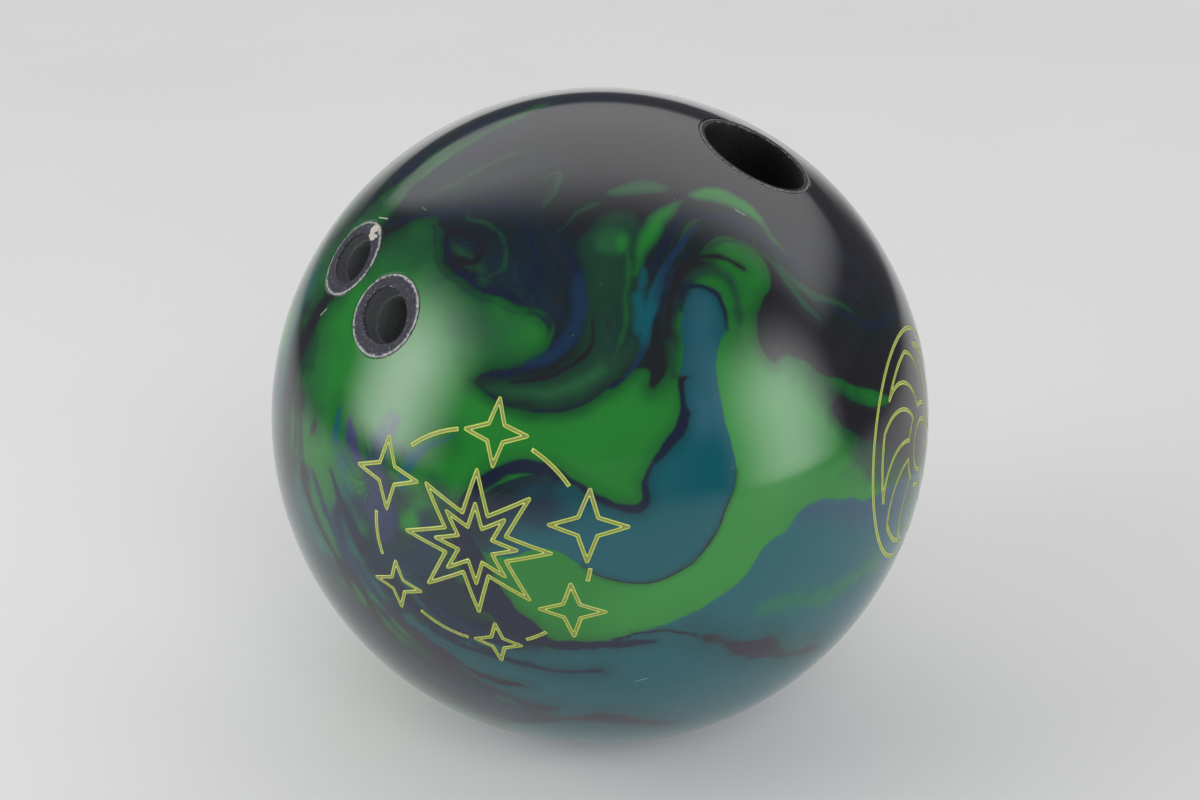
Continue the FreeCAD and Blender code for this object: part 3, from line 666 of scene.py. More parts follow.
def stroke_field(stroke, directions):
    """Degrees inside the edge of a poured shape, negative outside it, and far below zero out of its reach."""
    axes = stroke.axes
    closed = len(stroke.points[0]) == 2
    path = spline(stroke.points, closed, SPLINE_STEP)
    on_ball = from_map(path[:, :2], axes)
    middle = unit(on_ball.mean(0))
    own = around(middle, axes[1])
    reach = np.degrees(np.arccos(np.clip(on_ball @ middle, -1, 1))).max() + FIELD_MARGIN
    field = np.full(len(directions), -FAR)
    near = directions @ middle > math.cos(math.radians(min(reach, 179.0)))
    points, flat_path = to_map(directions[near], own), to_map(on_ball, own)
    distance, place = nearest_on_path(points, flat_path, closed)
    if closed:
        field[near] = np.where(inside_path(points, flat_path), distance, -distance)
    else:
        half = np.interp(place, np.arange(len(path)), path[:, 2])
        field[near] = half - distance
    return field


def drift_at(directions):
    """The slow drift that bends every edge, in units of DRIFT."""
    return np.stack([rough_noise(directions * DRIFT_SCALE, 3, seed) for seed in (11, 12, 13)], 1)


def marble(directions):
    """The cover's attributes at each direction: each layer's edge and tint, and the combing."""
    warped = unit(directions + math.radians(DRIFT) * drift_at(directions))
    grain = rough_noise(warped * RAGGED_SCALE, 3, 21)
    edge = {layer: np.full(len(directions), -FAR) for layer in LAYERS}
    tint = {layer: np.tile(colour, (len(directions), 1)) for layer, colour in LAYERS.items()}
    pull, pulled, swirl = np.zeros((3, len(directions)))
    for stroke in STROKES:
        field = stroke_field(stroke, warped)
        level = (field + stroke.ragged * grain) / stroke.soft
        weight = smooth_step(-1, 1, level) * stroke.strength
        if stroke.layer == "swirl":
            swirl = np.maximum(swirl, weight)
            continue
        if stroke.shapes:
            near = np.where(field > -FAR, 1 / (1 + field ** 2), 0)
            pull += near
            pulled += near * field
            edge[stroke.layer] = np.maximum(edge[stroke.layer], level)
            weight = smooth_step(-4, 0, level)
        tint[stroke.layer] += (stroke.colour - tint[stroke.layer]) * weight[:, None]
    looks = {"flow": pulled / np.maximum(pull, 1e-6), "swirl": swirl, "base_tint": tint["base"]}
    for layer in LAYERS:
        if layer != "base":
            looks[layer + "_edge"] = np.clip(edge[layer], -FAR, FAR)
            looks[layer + "_tint"] = tint[layer]
    return looks


# ---- what the frame gives ----------------------------------------------------------------------
def node_points(name):
    """A CAD node's points, in millimetres."""
    vertices = frame["nodes"][name].data.vertices
    points = np.zeros(len(vertices) * 3, np.float32)
    vertices.foreach_get("co", points)
    return points.reshape(-1, 3).astype(float) / MM


def mount(name):
    return next(m for m in frame["record"]["mounts"] if m["name"] == name)


def lowest(name, axis):
    """A CAD node's lowest point along an axis."""
    return (node_points(name) @ axis).min()


BALL_R = np.linalg.norm(node_points("coverstock"), axis=1).max()
CORE_R = np.linalg.norm(node_points("outer_core"), axis=1).max()

Hole = collections.namedtuple("Hole", "axes foot radius rim count")


def hole(axis, mouth, towards, lining, ease, count):
    """A drilled hole. Its first side vector leans towards another hole, and a lining node gives its size."""
    foot = mouth - axis * (mouth @ axis)
    side = unit(towards - axis * (towards @ axis))
    along = node_points(lining) - foot
    radius = np.linalg.norm(np.cross(along, axis), axis=1).max()
    return Hole(np.array([side, np.cross(axis, side), axis]), foot, radius, radius + ease, count)


def drilled(name, towards, lining, count):
    """A hole along a mount's axis, which need not pass through the ball's centre."""
    given = mount(name)
    return hole(unit(given["axis"]), np.array(given["pos_m"]) / MM, towards, lining, EDGE_EASE, count)


PIN_AXIS = unit(node_points("core_pin").mean(0))
THUMB_AXIS = unit(mount("thumb_sleeve_bore")["axis"])
MIDDLE_AXIS = unit(mount("middle_finger_grip")["axis"])
THUMB = drilled("thumb_sleeve_bore", MIDDLE_AXIS, "thumb_sleeve_glue", RIM_POINTS * 3 // 2)
MIDDLE = drilled("middle_finger_grip", THUMB_AXIS, "middle_finger_glue", RIM_POINTS)
RING = drilled("ring_finger_grip", THUMB_AXIS, "ring_finger_glue", RIM_POINTS)
PIN = hole(PIN_AXIS, np.zeros(3), THUMB_AXIS, "core_pin", 0.0, RIM_POINTS // 2)
HOLES = (THUMB, MIDDLE, RING, PIN)


# ---- meshes ------------------------------------------------------------------------------------
def spokes(radius, count):
    """Points of a circle, or of any curve whose radius is given step by step, in a plane."""
    turn = np.arange(count) * 2 * math.pi / count
    return np.stack([radius * np.cos(turn), radius * np.sin(turn), np.zeros(count)], 1)


def ring_at(one, radius, height, count):
    """A ring about a hole's axis. Radius and height may be given point by point."""
    level = one.foot + spokes(radius, count) @ one.axes
    return level + np.multiply.outer(np.ones(count) * height, one.axes[2])


def crown(one, radius, count, ball):
    """Heights along a hole's axis at which a ring about it lies on a sphere."""
    level = one.foot + spokes(radius, count) @ one.axes
    return np.sqrt(ball ** 2 - (level ** 2).sum(1))


def on_sphere(one, radius, count, ball):
    return ring_at(one, radius, crown(one, radius, count, ball), count)


def open_edges(triangles):
    """Directed edges that only one triangle has."""
    edges = triangles[:, [0, 1, 1, 2, 2, 0]].reshape(-1, 2)
    size = edges.max() + 1
    code = edges[:, 0] * size + edges[:, 1]
    return edges[~np.isin(code, edges[:, 1] * size + edges[:, 0])]


def wall(edges, lower):
    """Triangles joining directed edges to their copies further down. lower gives each point's copy."""
    a, b = edges[:, 0], edges[:, 1]
    return np.concatenate([np.stack([b, a, lower[a]], 1), np.stack([b, lower[a], lower[b]], 1)])


class Skin:
    """Gathers the points and triangles of one mesh, and the normal at each triangle's corners."""

    def __init__(self):
        self.points = np.zeros((0, 3))
        self.triangles = np.zeros((0, 3), int)
        self.normals = np.zeros((0, 3, 3))

    def add_points(self, points):
        """Adds points and returns the first one's number."""
        first = len(self.points)
        self.points = np.concatenate([self.points, points])
        return first

    def add(self, triangles, normal_at):
        """Adds triangles; normal_at turns their corners, as an (n, 3, 3) array, into normals."""
        self.triangles = np.concatenate([self.triangles, triangles])
        self.normals = np.concatenate([self.normals, normal_at(self.points[triangles])])


def outward(corners):
    return unit(corners)


def inward(corners):
    return -unit(corners)


def flat(corners):
    across = np.cross(corners[:, 1] - corners[:, 0], corners[:, 2] - corners[:, 0])
    return np.repeat(unit(across)[:, None], 3, axis=1)


def into_hole(one):
    axis = one.axes[2]

    def normal(corners):
        return unit(one.foot + (corners @ axis)[..., None] * axis - corners)
    return normal


def half_way(one, other):
    def normal(corners):
        return unit(one(corners) + other(corners))
    return normal


def make_piece(name, points, faces, normals=None, attributes=None):
    """A mesh object from millimetre points, with its attributes as floats or colours on the points."""
    mesh = bpy.data.meshes.new(name)
    listed = faces.tolist() if isinstance(faces, np.ndarray) else faces
    mesh.from_pydata((points * MM).tolist(), [], listed)
    mesh.polygons.foreach_set("use_smooth", np.ones(len(faces), bool))
    for key, values in (attributes or {}).items():
        if values.ndim == 1:
            made = mesh.attributes.new(key, "FLOAT", "POINT")
            made.data.foreach_set("value", values.astype(np.float32))
        else:
            made = mesh.attributes.new(key, "FLOAT_COLOR", "POINT")
            opaque = np.concatenate([values, np.ones((len(values), 1))], 1)
            made.data.foreach_set("color", opaque.astype(np.float32).ravel())
    if normals is not None:
        mesh.normals_split_custom_set(normals.reshape(-1, 3).tolist())
    made = bpy.data.objects.new(name, mesh)
    bpy.context.scene.collection.objects.link(made)
    return made


def finish_piece(piece, material, slot, *nodes):
    """Gives a piece its material and the root body, and hides the CAD nodes it stands for. slot is not used.
    """
    piece.data.materials.append(material)
    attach(piece, "root")
    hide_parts(*nodes)


# ---- cover -------------------------------------------------------------------------------------
def front_rich_lattice(spacing):
    """Evenly turned points on the unit sphere, closest together where the camera looks."""
    angle = np.linspace(0, math.pi, 2001)
    share = smooth_step(math.radians(REAR_FROM), math.radians(REAR_TO), angle)
    density = (BALL_R / spacing) ** 2 * 2 / math.sqrt(3) * (1 - share * (1 - 1 / REAR_THINNING))
    ring = density * 2 * math.pi * np.sin(angle)
    total = np.concatenate([[0], np.cumsum((ring[1:] + ring[:-1]) / 2 * np.diff(angle))])
    number = np.arange(int(total[-1])) + 0.5
    return polar(np.interp(number, total, angle), number * math.pi * GOLDEN) @ FRONT


def even_lattice(spacing, ball):
    """Golden-spiral points on the unit sphere, for a spacing on a sphere of a given radius."""
    count = int(4 * math.pi * (ball / spacing) ** 2 * 2 / math.sqrt(3))
    height = 1 - 2 * (np.arange(count) + 0.5) / count
    turn = np.arange(count) * math.pi * GOLDEN
    flat_reach = np.sqrt(1 - height ** 2)
    return np.stack([flat_reach * np.cos(turn), flat_reach * np.sin(turn), height], 1)


def tree_of(points):
    tree = KDTree(len(points))
    for k, point in enumerate(points):
        tree.insert(point, k)
    tree.balance()
    return tree


def far_from(points, others, gap):
    """Which points are at least a gap away from all the others."""
    tree = tree_of(others)
    return np.array([tree.find(p)[2] >= gap for p in points])


def apart(points, gap):
    """Points in their order, without any that is nearer than a gap to one already kept."""
    tree = tree_of(points)
    kept = np.ones(len(points), bool)
    for k, point in enumerate(points):
        if kept[k]:
            for _, other, _ in tree.find_range(point, gap):
                if other > k:
                    kept[other] = False
    return points[kept]


def outside_holes(directions, margin, ball):
    """Which directions meet a sphere clear of every hole."""
    keep = np.ones(len(directions), bool)
    for one in HOLES:
        beside = np.linalg.norm(np.cross(directions * ball - one.foot, one.axes[2]), axis=1)
        keep &= (beside > one.rim + margin) | (directions @ one.axes[2] < 0)
    return keep


def emblem_loops(name):
    """The edge loops of a paint node's top faces, as directions with steps no longer than LINE_STEP."""
    points = node_points(name)
    faces = np.array([f.vertices[:] for f in frame["nodes"][name].data.polygons])
    key = np.round(points, 3)
    _, first, same = np.unique(key, axis=0, return_index=True, return_inverse=True)
    points, faces = points[first], same.reshape(-1)[faces]
    radius = np.linalg.norm(points, axis=1)
    top = (radius[faces] > radius.max() - TOP_BAND).all(1)
    following = dict(open_edges(faces[top]).tolist())
    loops = []
    while following:
        start, at = following.popitem()
        loop = [start]
        while at != start:
            loop.append(at)
            at = following.pop(at)
        loops.append(even_steps(points[loop]))
    return loops


def even_steps(loop):
    """A loop without crowded points, and with long steps divided, as directions."""
    kept = [loop[0]]
    for point in loop[1:]:
        if np.linalg.norm(point - kept[-1]) > LINE_GAP:
            kept.append(point)
    if np.linalg.norm(kept[0] - kept[-1]) <= LINE_GAP:
        kept.pop()
    parts = []
    for a, b in zip(kept, kept[1:] + kept[:1]):
        n = math.ceil(np.linalg.norm(b - a) / LINE_STEP)
        parts.append(a + (b - a) * (np.arange(n) / n)[:, None])
    return unit(np.concatenate(parts))


def line_middles(loops):
    """Points along the middles of engraved lines, half a line's width to the left of their edges."""
    parts = []
    for loop in loops:
        onward = np.roll(loop, -1, 0) - np.roll(loop, 1, 0)
        parts.append(unit(loop + unit(np.cross(loop, onward)) * LINE_HALF / BALL_R))
    return np.concatenate(parts)


def stereographic(directions, pole):
    """Plane map of the sphere seen from one pole, in which circles stay circles."""
    side, up, out = pole
    return np.stack([directions @ side, directions @ up], 1) / (1 - directions @ out)[:, None]


def span(directions, loops, pole):
    """Triangles of a sphere through free directions and closed loops, seen from a pole inside a hole."""
    flat_points = stereographic(directions, pole)
    edges, first = [], 0
    for loop in loops:
        ring = np.arange(len(loop)) + first
        edges += np.stack([ring, np.roll(ring, -1)], 1).tolist()
        first += len(loop)
    vectors = [Vector(p) for p in flat_points]
    found = delaunay_2d_cdt(vectors, edges, [], 0, 1e-7, True)
    source = np.array([s[0] for s in found[3]])
    triangles = source[np.array(found[2])]
    a, b, c = (directions[triangles[:, k]] for k in range(3))
    turned = np.einsum("ij,ij->i", np.cross(b - a, c - a), a + b + c) < 0
    triangles[turned] = triangles[turned][:, ::-1]
    return triangles


def without_plugs(triangles, rings):
    """Triangles that don't have all three corners on one hole's ring."""
    owner = np.full(triangles.max() + 1, -1)
    for k, (first, count) in enumerate(rings):
        owner[first:first + count] = k
    of = owner[triangles]
    plug = (of[:, 0] >= 0) & (of[:, 0] == of[:, 1]) & (of[:, 1] == of[:, 2])
    return triangles[~plug]


def thread_points():
    """Points along the middles of narrow ribbons, so that the mesh doesn't step over them."""
    parts = []
    for stroke in STROKES:
        if stroke.shapes and len(stroke.points[0]) == 3:
            path = spline(stroke.points, False, SPLINE_STEP / 2)
            parts.append(from_map(path[path[:, 2] < THREAD_HALF][:, :2], stroke.axes))
    middles = np.concatenate(parts)
    middles = unit(middles - math.radians(DRIFT) * drift_at(middles))
    kept = [middles[0]]
    for point in middles[1:]:
        if np.linalg.norm(point - kept[-1]) * BALL_R > THREAD_STEP:
            kept.append(point)
    return np.array(kept)


def cover_directions(rims, engraved):
    """The cover's points as directions: rims, engraved edges, lines' middles, threads, then the rest."""
    edges = np.concatenate(rims + engraved)
    middles = line_middles(engraved)
    middles = middles[far_from(middles, edges, MIDDLE_CLEAR / BALL_R)]
    fixed = np.concatenate([edges, apart(middles, MIDDLE_STEP / BALL_R)])

    def clear_of(points, others):
        points = points[outside_holes(points, CLEAR, BALL_R) & ~in_lines(points, engraved)]
        return points[far_from(points, others, CLEAR / BALL_R)]

    fixed = np.concatenate([fixed, clear_of(thread_points(), fixed)])
    return np.concatenate([fixed, clear_of(front_rich_lattice(FRONT_SPACING), fixed)]), len(edges)


def cover_skin():
    """The whole cover: outside, engraved grooves, drilled walls and hidden inside."""
    rims = [unit(on_sphere(h, h.rim, h.count, BALL_R)) for h in HOLES]
    engraved = [loop for node in EMBLEMS.values() for loop in emblem_loops(node)]
    directions, edge_count = cover_directions(rims, engraved)
    triangles = without_plugs(span(directions, rims + engraved, THUMB.axes), ring_ranges(rims))
    in_band = in_lines(unit(directions[triangles].mean(1)), engraved)
    band = triangles[in_band]

    skin = Skin()
    skin.add_points(directions * BALL_R)
    skin.add(triangles[~in_band], outward)
    border = open_edges(triangles[~in_band])
    add_grooves(skin, directions, band, border[border.min(1) >= sum(len(r) for r in rims)])
    add_inside(skin, ring_ranges(rims), border)
    return skin, directions, band, np.arange(len(directions)) < edge_count


def add_grooves(skin, directions, band, border):
    """Lays a band of triangles at the bottom of its grooves, and walls the grooves in."""
    floor_of = np.arange(len(directions))
    used = np.unique(band)
    floor_of[used] = skin.add_points(directions[used] * (BALL_R - GROOVE_DEPTH)) + np.arange(len(used))
    skin.add(floor_of[band], outward)
    skin.add(wall(border, floor_of), flat)


def add_inside(skin, rings, border):
    """Adds the hidden inside, and each hole's bevel and wall from its rim down to it."""
    inner_rims = [unit(on_sphere(h, h.radius, h.count, CORE_R)) for h in HOLES]
    free = even_lattice(INNER_SPACING, CORE_R)
    free = free[outside_holes(free, INNER_SPACING / 2, CORE_R)]
    directions = np.concatenate(inner_rims + [free])
    inner = without_plugs(span(directions, inner_rims, THUMB.axes), rings)
    first_inner = skin.add_points(directions * CORE_R)
    skin.add(inner[:, ::-1] + first_inner, inward)
    for one, (first, count) in zip(HOLES, rings):
        border_here = border[(border[:, 0] >= first) & (border[:, 0] < first + count)]
        lower = np.arange(first + count)
        lower[first:] = np.arange(count) + first_inner + first
        if one.rim > one.radius:
            top = crown(one, one.rim, count, BALL_R) - (one.rim - one.radius)
            lip = lower.copy()
            lip[first:] = skin.add_points(ring_at(one, one.radius, top, count)) + np.arange(count)
            skin.add(wall(border_here, lip), half_way(outward, into_hole(one)))
            onward = np.arange(len(skin.points))
            onward[lip[first:]] = lower[first:]
            skin.add(wall(lip[border_here], onward), into_hole(one))
        else:
            skin.add(wall(border_here, lower), into_hole(one))


def ring_ranges(rims):
    """Where each hole's ring starts among the points, and its length."""
    starts = np.cumsum([0] + [len(r) for r in rims[:-1]])
    return [(int(s), len(r)) for s, r in zip(starts, rims)]


def in_lines(directions, loops):
    """Which directions are on an engraved line: inside an odd number of its edge loops."""
    inside = np.zeros(len(directions), bool)
    for loop in loops:
        inside ^= in_loop(directions, loop)
    return inside


def in_loop(directions, loop):
    """Which directions are inside a closed loop, seen from outside its own middle."""
    middle = unit(loop.mean(0))
    axes = around(middle, FRONT[1])
    inside = np.zeros(len(directions), bool)
    near = directions @ middle > (loop @ middle).min() - 0.01
    inside[near] = inside_path(to_map(directions[near], axes), to_map(loop, axes))
    return inside


def inlay(skin_directions, band, top, bottom):
    """Closed solids over a band of the cover's triangles, between two radii given for each point."""
    used = np.unique(band)
    number = np.zeros(band.max() + 1, int)
    number[used] = np.arange(len(used))
    upper = number[band]
    count = len(used)
    points = np.concatenate([skin_directions[used] * top[used, None], skin_directions[used] * bottom])
    border = open_edges(upper)
    sides = wall(border, np.arange(count) + count)
    return points, np.concatenate([upper, upper[:, ::-1] + count, sides]), used


# ---- grips, sleeve and pin -----------------------------------------------------------------------
class Turned:
    """Gathers the rings of a piece turned about a hole's axis, and how worn each one is."""

    def __init__(self, one, count):
        self.one = one
        self.count = count
        self.rings = []
        self.worn = []

    def ring(self, radius, height, wear=0.0):
        """Adds a ring. Its radius and height may be given point by point."""
        self.rings.append(ring_at(self.one, radius, height, self.count))
        self.worn.append(np.full(self.count, float(wear)))


def loft(rings, closed):
    """Quads between successive rings of equal length; closed joins the last ring to the first."""
    count = len(rings[0])
    around_ring = np.arange(count)
    onward = np.roll(around_ring, -1)
    faces = []
    last = len(rings) if closed else len(rings) - 1
    for k in range(last):
        a = k * count
        b = (k + 1) % len(rings) * count
        faces.append(np.stack([a + around_ring, a + onward, b + onward, b + around_ring], 1))
    return np.concatenate(rings), np.concatenate(faces)


def capped(rings, first_tip, last_tip):
    """A loft whose first and last rings are closed with fans to two tips."""
    points, faces = loft(rings, False)
    count = len(rings[0])
    ring = np.arange(count)
    onward = np.roll(ring, -1)
    tips = len(points)
    end = tips - count
    start_fan = np.stack([np.full(count, tips), onward, ring], 1)
    end_fan = np.stack([np.full(count, tips + 1), end + ring, end + onward], 1)
    fans = start_fan.tolist() + end_fan.tolist()
    return np.concatenate([points, [first_tip, last_tip]]), faces.tolist() + fans


def facing_out(piece):
    """Turns all of a closed piece's faces outwards, and returns it."""
    mesh = bmesh.new()
    mesh.from_mesh(piece.data)
    bmesh.ops.recalc_face_normals(mesh, faces=mesh.faces)
    mesh.to_mesh(piece.data)
    mesh.free()
    return piece


def oval(half_x, half_y, count):
    """Distance from the centre to an ellipse's edge, for each step round it."""
    turn = np.arange(count) * 2 * math.pi / count
    return half_x * half_y / np.hypot(half_y * np.cos(turn), half_x * np.sin(turn))


def excess(points, octaves, seed, level):
    """The part of a noise above a level, for nicks and chips."""
    return np.clip(rough_noise(points, octaves, seed) - level, 0, 1)


def finger_grip(name, node, one, seed):
    """A rubber tube with an oval opening, a shaved mouth, a cut upper edge and a scuffed face."""
    count = GRIP_POINTS
    local = (node_points(node) - one.foot) @ one.axes.T
    bottom = local[:, 2].min()
    beside = np.hypot(local[:, 0], local[:, 1])
    outer = beside.max()
    inner = local[(local[:, 2] < bottom + 1) & (beside < 0.8 * outer)]
    half_x, half_y = np.abs(inner[:, :2]).max(0)
    opening = oval(half_x, half_y, count)
    mouth = oval(half_x + GRIP_FLARE, half_y + GRIP_FLARE, count)
    walk = ring_at(one, 1.0, seed, count)
    uneven = rough_noise(walk * 6, 3, seed)
    nicks = excess(walk * 22, 2, seed + 5, 0.35)
    turned = Turned(one, count)
    ring = turned.ring

    def top(radius):
        return crown(one, radius, count, BALL_R)

    # Up the outside and over the cut edge.
    for share in np.linspace(0, 1, 9):
        ring(outer, bottom + (top(outer) - 0.45 - bottom) * share, 0.25 * (share > 0.9))
    ring(outer, top(outer) - 0.25, 0.8)
    ring(outer - 0.08 - 0.10 * nicks, top(outer) - 0.08 - 0.25 * nicks, 1.0)
    ring(outer - 0.30 - 0.15 * nicks, top(outer) - 0.02 - 0.10 * nicks, 1.0)
    # Across the scuffed face to the mouth.
    for share in np.linspace(0.12, 0.9, 9):
        radius = outer - 0.3 + (mouth - outer + 0.3) * share
        scuff = rough_noise(ring_at(one, radius, 0, count) / 1.3, 3, seed + 9)
        wear = 0.75 * (share < 0.2) + 0.4 * (0.2 < share < 0.3)
        ring(radius, top(radius) - 0.08 + 0.05 * scuff - 0.12 * share ** 3, wear)
    ring(mouth + 0.25, top(mouth) - 0.16 - 0.03 * uneven, 0.4)
    ring(mouth, top(mouth) - 0.38 - 0.06 * uneven, 0.6)
    ring(mouth - 0.12, top(mouth) - 0.75 - 0.10 * uneven, 0.35)
    # Down the shaving to its step, and down the opening.
    inside = len(turned.rings)
    high = top(mouth) - 1
    throat = high.mean() - GRIP_FLARE_DEPTH
    step = opening + GRIP_STEP
    for share in np.linspace(0.15, 1, 5):
        radius = mouth - 0.15 + (step - mouth + 0.15) * share
        ring(radius, high + (throat - high) * share, 0.1)
    ring(step - 0.08, throat - 0.15, 0.3)
    ring(opening + 0.1, throat - 0.35 - 0.1 * uneven, 0.5)
    ring(opening, throat - 0.6, 0.3)
    for share in np.linspace(0.1, 1, 8):
        ring(opening, throat - 0.6 + (bottom - throat + 0.6) * share)
    points, faces = loft(turned.rings, True)
    wall_share = (np.arange(len(turned.rings)) >= inside).repeat(count).astype(float)
    torn = torn_patch(points, seed) if name == "ring_grip" else np.zeros(len(points))
    looks = {"wear": np.concatenate(turned.worn), "wall": wall_share, "torn": torn}
    return facing_out(make_piece(name, points, faces, None, looks))


def torn_patch(points, seed):
    """How far each point is into the pale patch where one grip's edge is frayed."""
    middle = from_map([TORN_PATCH], FRONT)[0] * BALL_R
    ragged = rough_noise(points * 0.55, 3, seed + 20)
    return smooth_step(3.4, 1.6, np.linalg.norm(points - middle, axis=1) + 1.3 * ragged)


def thumb_cup(name, node):
    """The sleeve: a cup with a bevelled, chipped rim, a long bore and two bayonet lugs over its floor."""
    axis = THUMB.axes[2]
    outer = np.linalg.norm(np.cross(node_points(node), axis), axis=1).max()
    bottom = lowest(node, axis)
    seat = mount("thumb_sleeve_bore")
    bore = seat["dims"]["r_mm"]
    lug_top = np.linalg.norm(seat["pos_m"]) / MM - seat["dims"]["length_mm"] / 2
    floor = lowest("thumb_sleeve_foam", axis)
    under = bore + UNDERCUT
    turn = np.degrees(np.arange(CUP_POINTS) * 2 * math.pi / CUP_POINTS) % 180
    lug = np.where(turn < LUG_SPAN, LUG_INNER_R, under)
    lug_low = floor + LUG_GAP
    chips = excess(ring_at(THUMB, 1.0, 0, CUP_POINTS) * 14, 3, 40, 0.55)
    crown_outer = math.sqrt(BALL_R ** 2 - outer ** 2)
    crown_bore = math.sqrt(BALL_R ** 2 - bore ** 2)
    turned = Turned(THUMB, CUP_POINTS)
    ring = turned.ring

    # Under the bottom, up the outside and over the rim.
    ring(outer * 0.5, bottom)
    ring(outer - 0.3, bottom)
    ring(outer, bottom + 0.3)
    for share in np.linspace(0.1, 0.98, 9):
        ring(outer, bottom + (crown_outer - bottom) * share)
    ring(outer, crown_outer - 0.3 - 0.3 * chips, 0.6)
    ring(outer - 0.08 - 0.2 * chips, crown_outer - 0.06 - 0.25 * chips, 1)
    ring(outer - 0.28 - 0.2 * chips, crown_outer - 0.10 * chips, 0.9)
    ring(outer - 0.8, (crown_outer + crown_bore) / 2 - 0.1, 0.25)
    ring(bore + 0.45, crown_bore - 0.08, 0.35)
    ring(bore + 0.15, crown_bore - 0.3, 0.8)
    ring(bore, crown_bore - 0.7, 0.5)
    # Down the bore, over the lugs and across the floor.
    for share in np.linspace(0.08, 1, 12):
        ring(bore, crown_bore + (lug_top - crown_bore) * share)
    ring(np.minimum(bore + 0.2, lug + 0.4), lug_top)
    ring(lug, lug_top - 0.4)
    ring(lug, lug_low + 0.4)
    ring(np.minimum(under, lug + 0.4), lug_low)
    ring(under, lug_low - 0.1)
    ring(under, floor + 0.3)
    ring(under - 0.3, floor)
    ring(bore * 0.5, floor)
    points, faces = capped(turned.rings, axis * bottom, axis * floor)
    tips = np.zeros(2)
    return facing_out(make_piece(name, points, faces, None, {"wear": np.concatenate(turned.worn + [tips])}))


def locator_pin(name, node):
    """The pin: its domed end is flush with the cover, and its shank runs down to the core."""
    axis = PIN.axes[2]
    low = lowest(node, axis)
    top = math.sqrt(BALL_R ** 2 - PIN.radius ** 2)
    turned = Turned(PIN, PIN.count)
    for share in (0.25, 0.5, 0.75, 0.92, 0.98, 1):
        turned.ring(PIN.radius * share, crown(PIN, PIN.radius * share, PIN.count, BALL_R))
    for share in np.linspace(0.02, 1, 8):
        turned.ring(PIN.radius, top + (low - top) * share)
    turned.ring(PIN.radius * 0.5, low)
    return facing_out(make_piece(name, *capped(turned.rings, axis * BALL_R, axis * low)))


# ---- materials -----------------------------------------------------------------------------------
HALO_REACH = 8.0          # a dark edge dims the colour under it this far out, in widths of the edge
GREEN_DEPTH = 4.0         # and the green over the dark is dim this far in
SCRATCH_SOFT = 0.0001     # metres over which a scratch's edge fades
COMB_PULL, CURL_PULL = 8.0, 9.0   # how far the combing and the curls drag the edges, in edge widths

# Lines scored into the polish: start and end on the front map, half width in metres, shade.
SCRATCHES = (
    ((-41.3, 37.0), (-38.8, 35.9), 0.00012, (0.55, 0.57, 0.52)),
    ((-52.3, 18.7), (-50.6, 19.7), 0.00012, (0.5, 0.52, 0.5)),
    ((-31.2, 36.6), (-30.2, 35.6), 0.00006, (0.2, 0.22, 0.2)),
    ((22.6, 34.4), (24.2, 33.5), 0.00008, (0.3, 0.32, 0.3)),
    ((6.2, -46.1), (8.2, -45.6), 0.00006, (0.3, 0.33, 0.34)),
)
SPECK = (0.22, 0.24, 0.23)

# Shades of a rubber: the stuff, its specks, its inner wall and its worn edge.
GRIP_SHADES = ((0.022, 0.021, 0.034), (0.22, 0.22, 0.27), (0.08, 0.085, 0.085), (0.4, 0.41, 0.41))
SLEEVE_SHADES = ((0.004, 0.004, 0.005), (0.01, 0.01, 0.011), (0.006, 0.006, 0.006), (0.24, 0.24, 0.24))
TORN_SHADE = (0.5, 0.48, 0.42)

# Engraving paint, whose bright edges are partly a painted highlight and dull middle partly painted shade, and
# the pin.
PAINT_DULL, PAINT_GREEN, PAINT_PALE = srgb(126, 134, 78), srgb(212, 228, 92), srgb(220, 220, 168)
PIN_DARK, PIN_LIGHT = srgb(196, 188, 60), srgb(222, 212, 92)


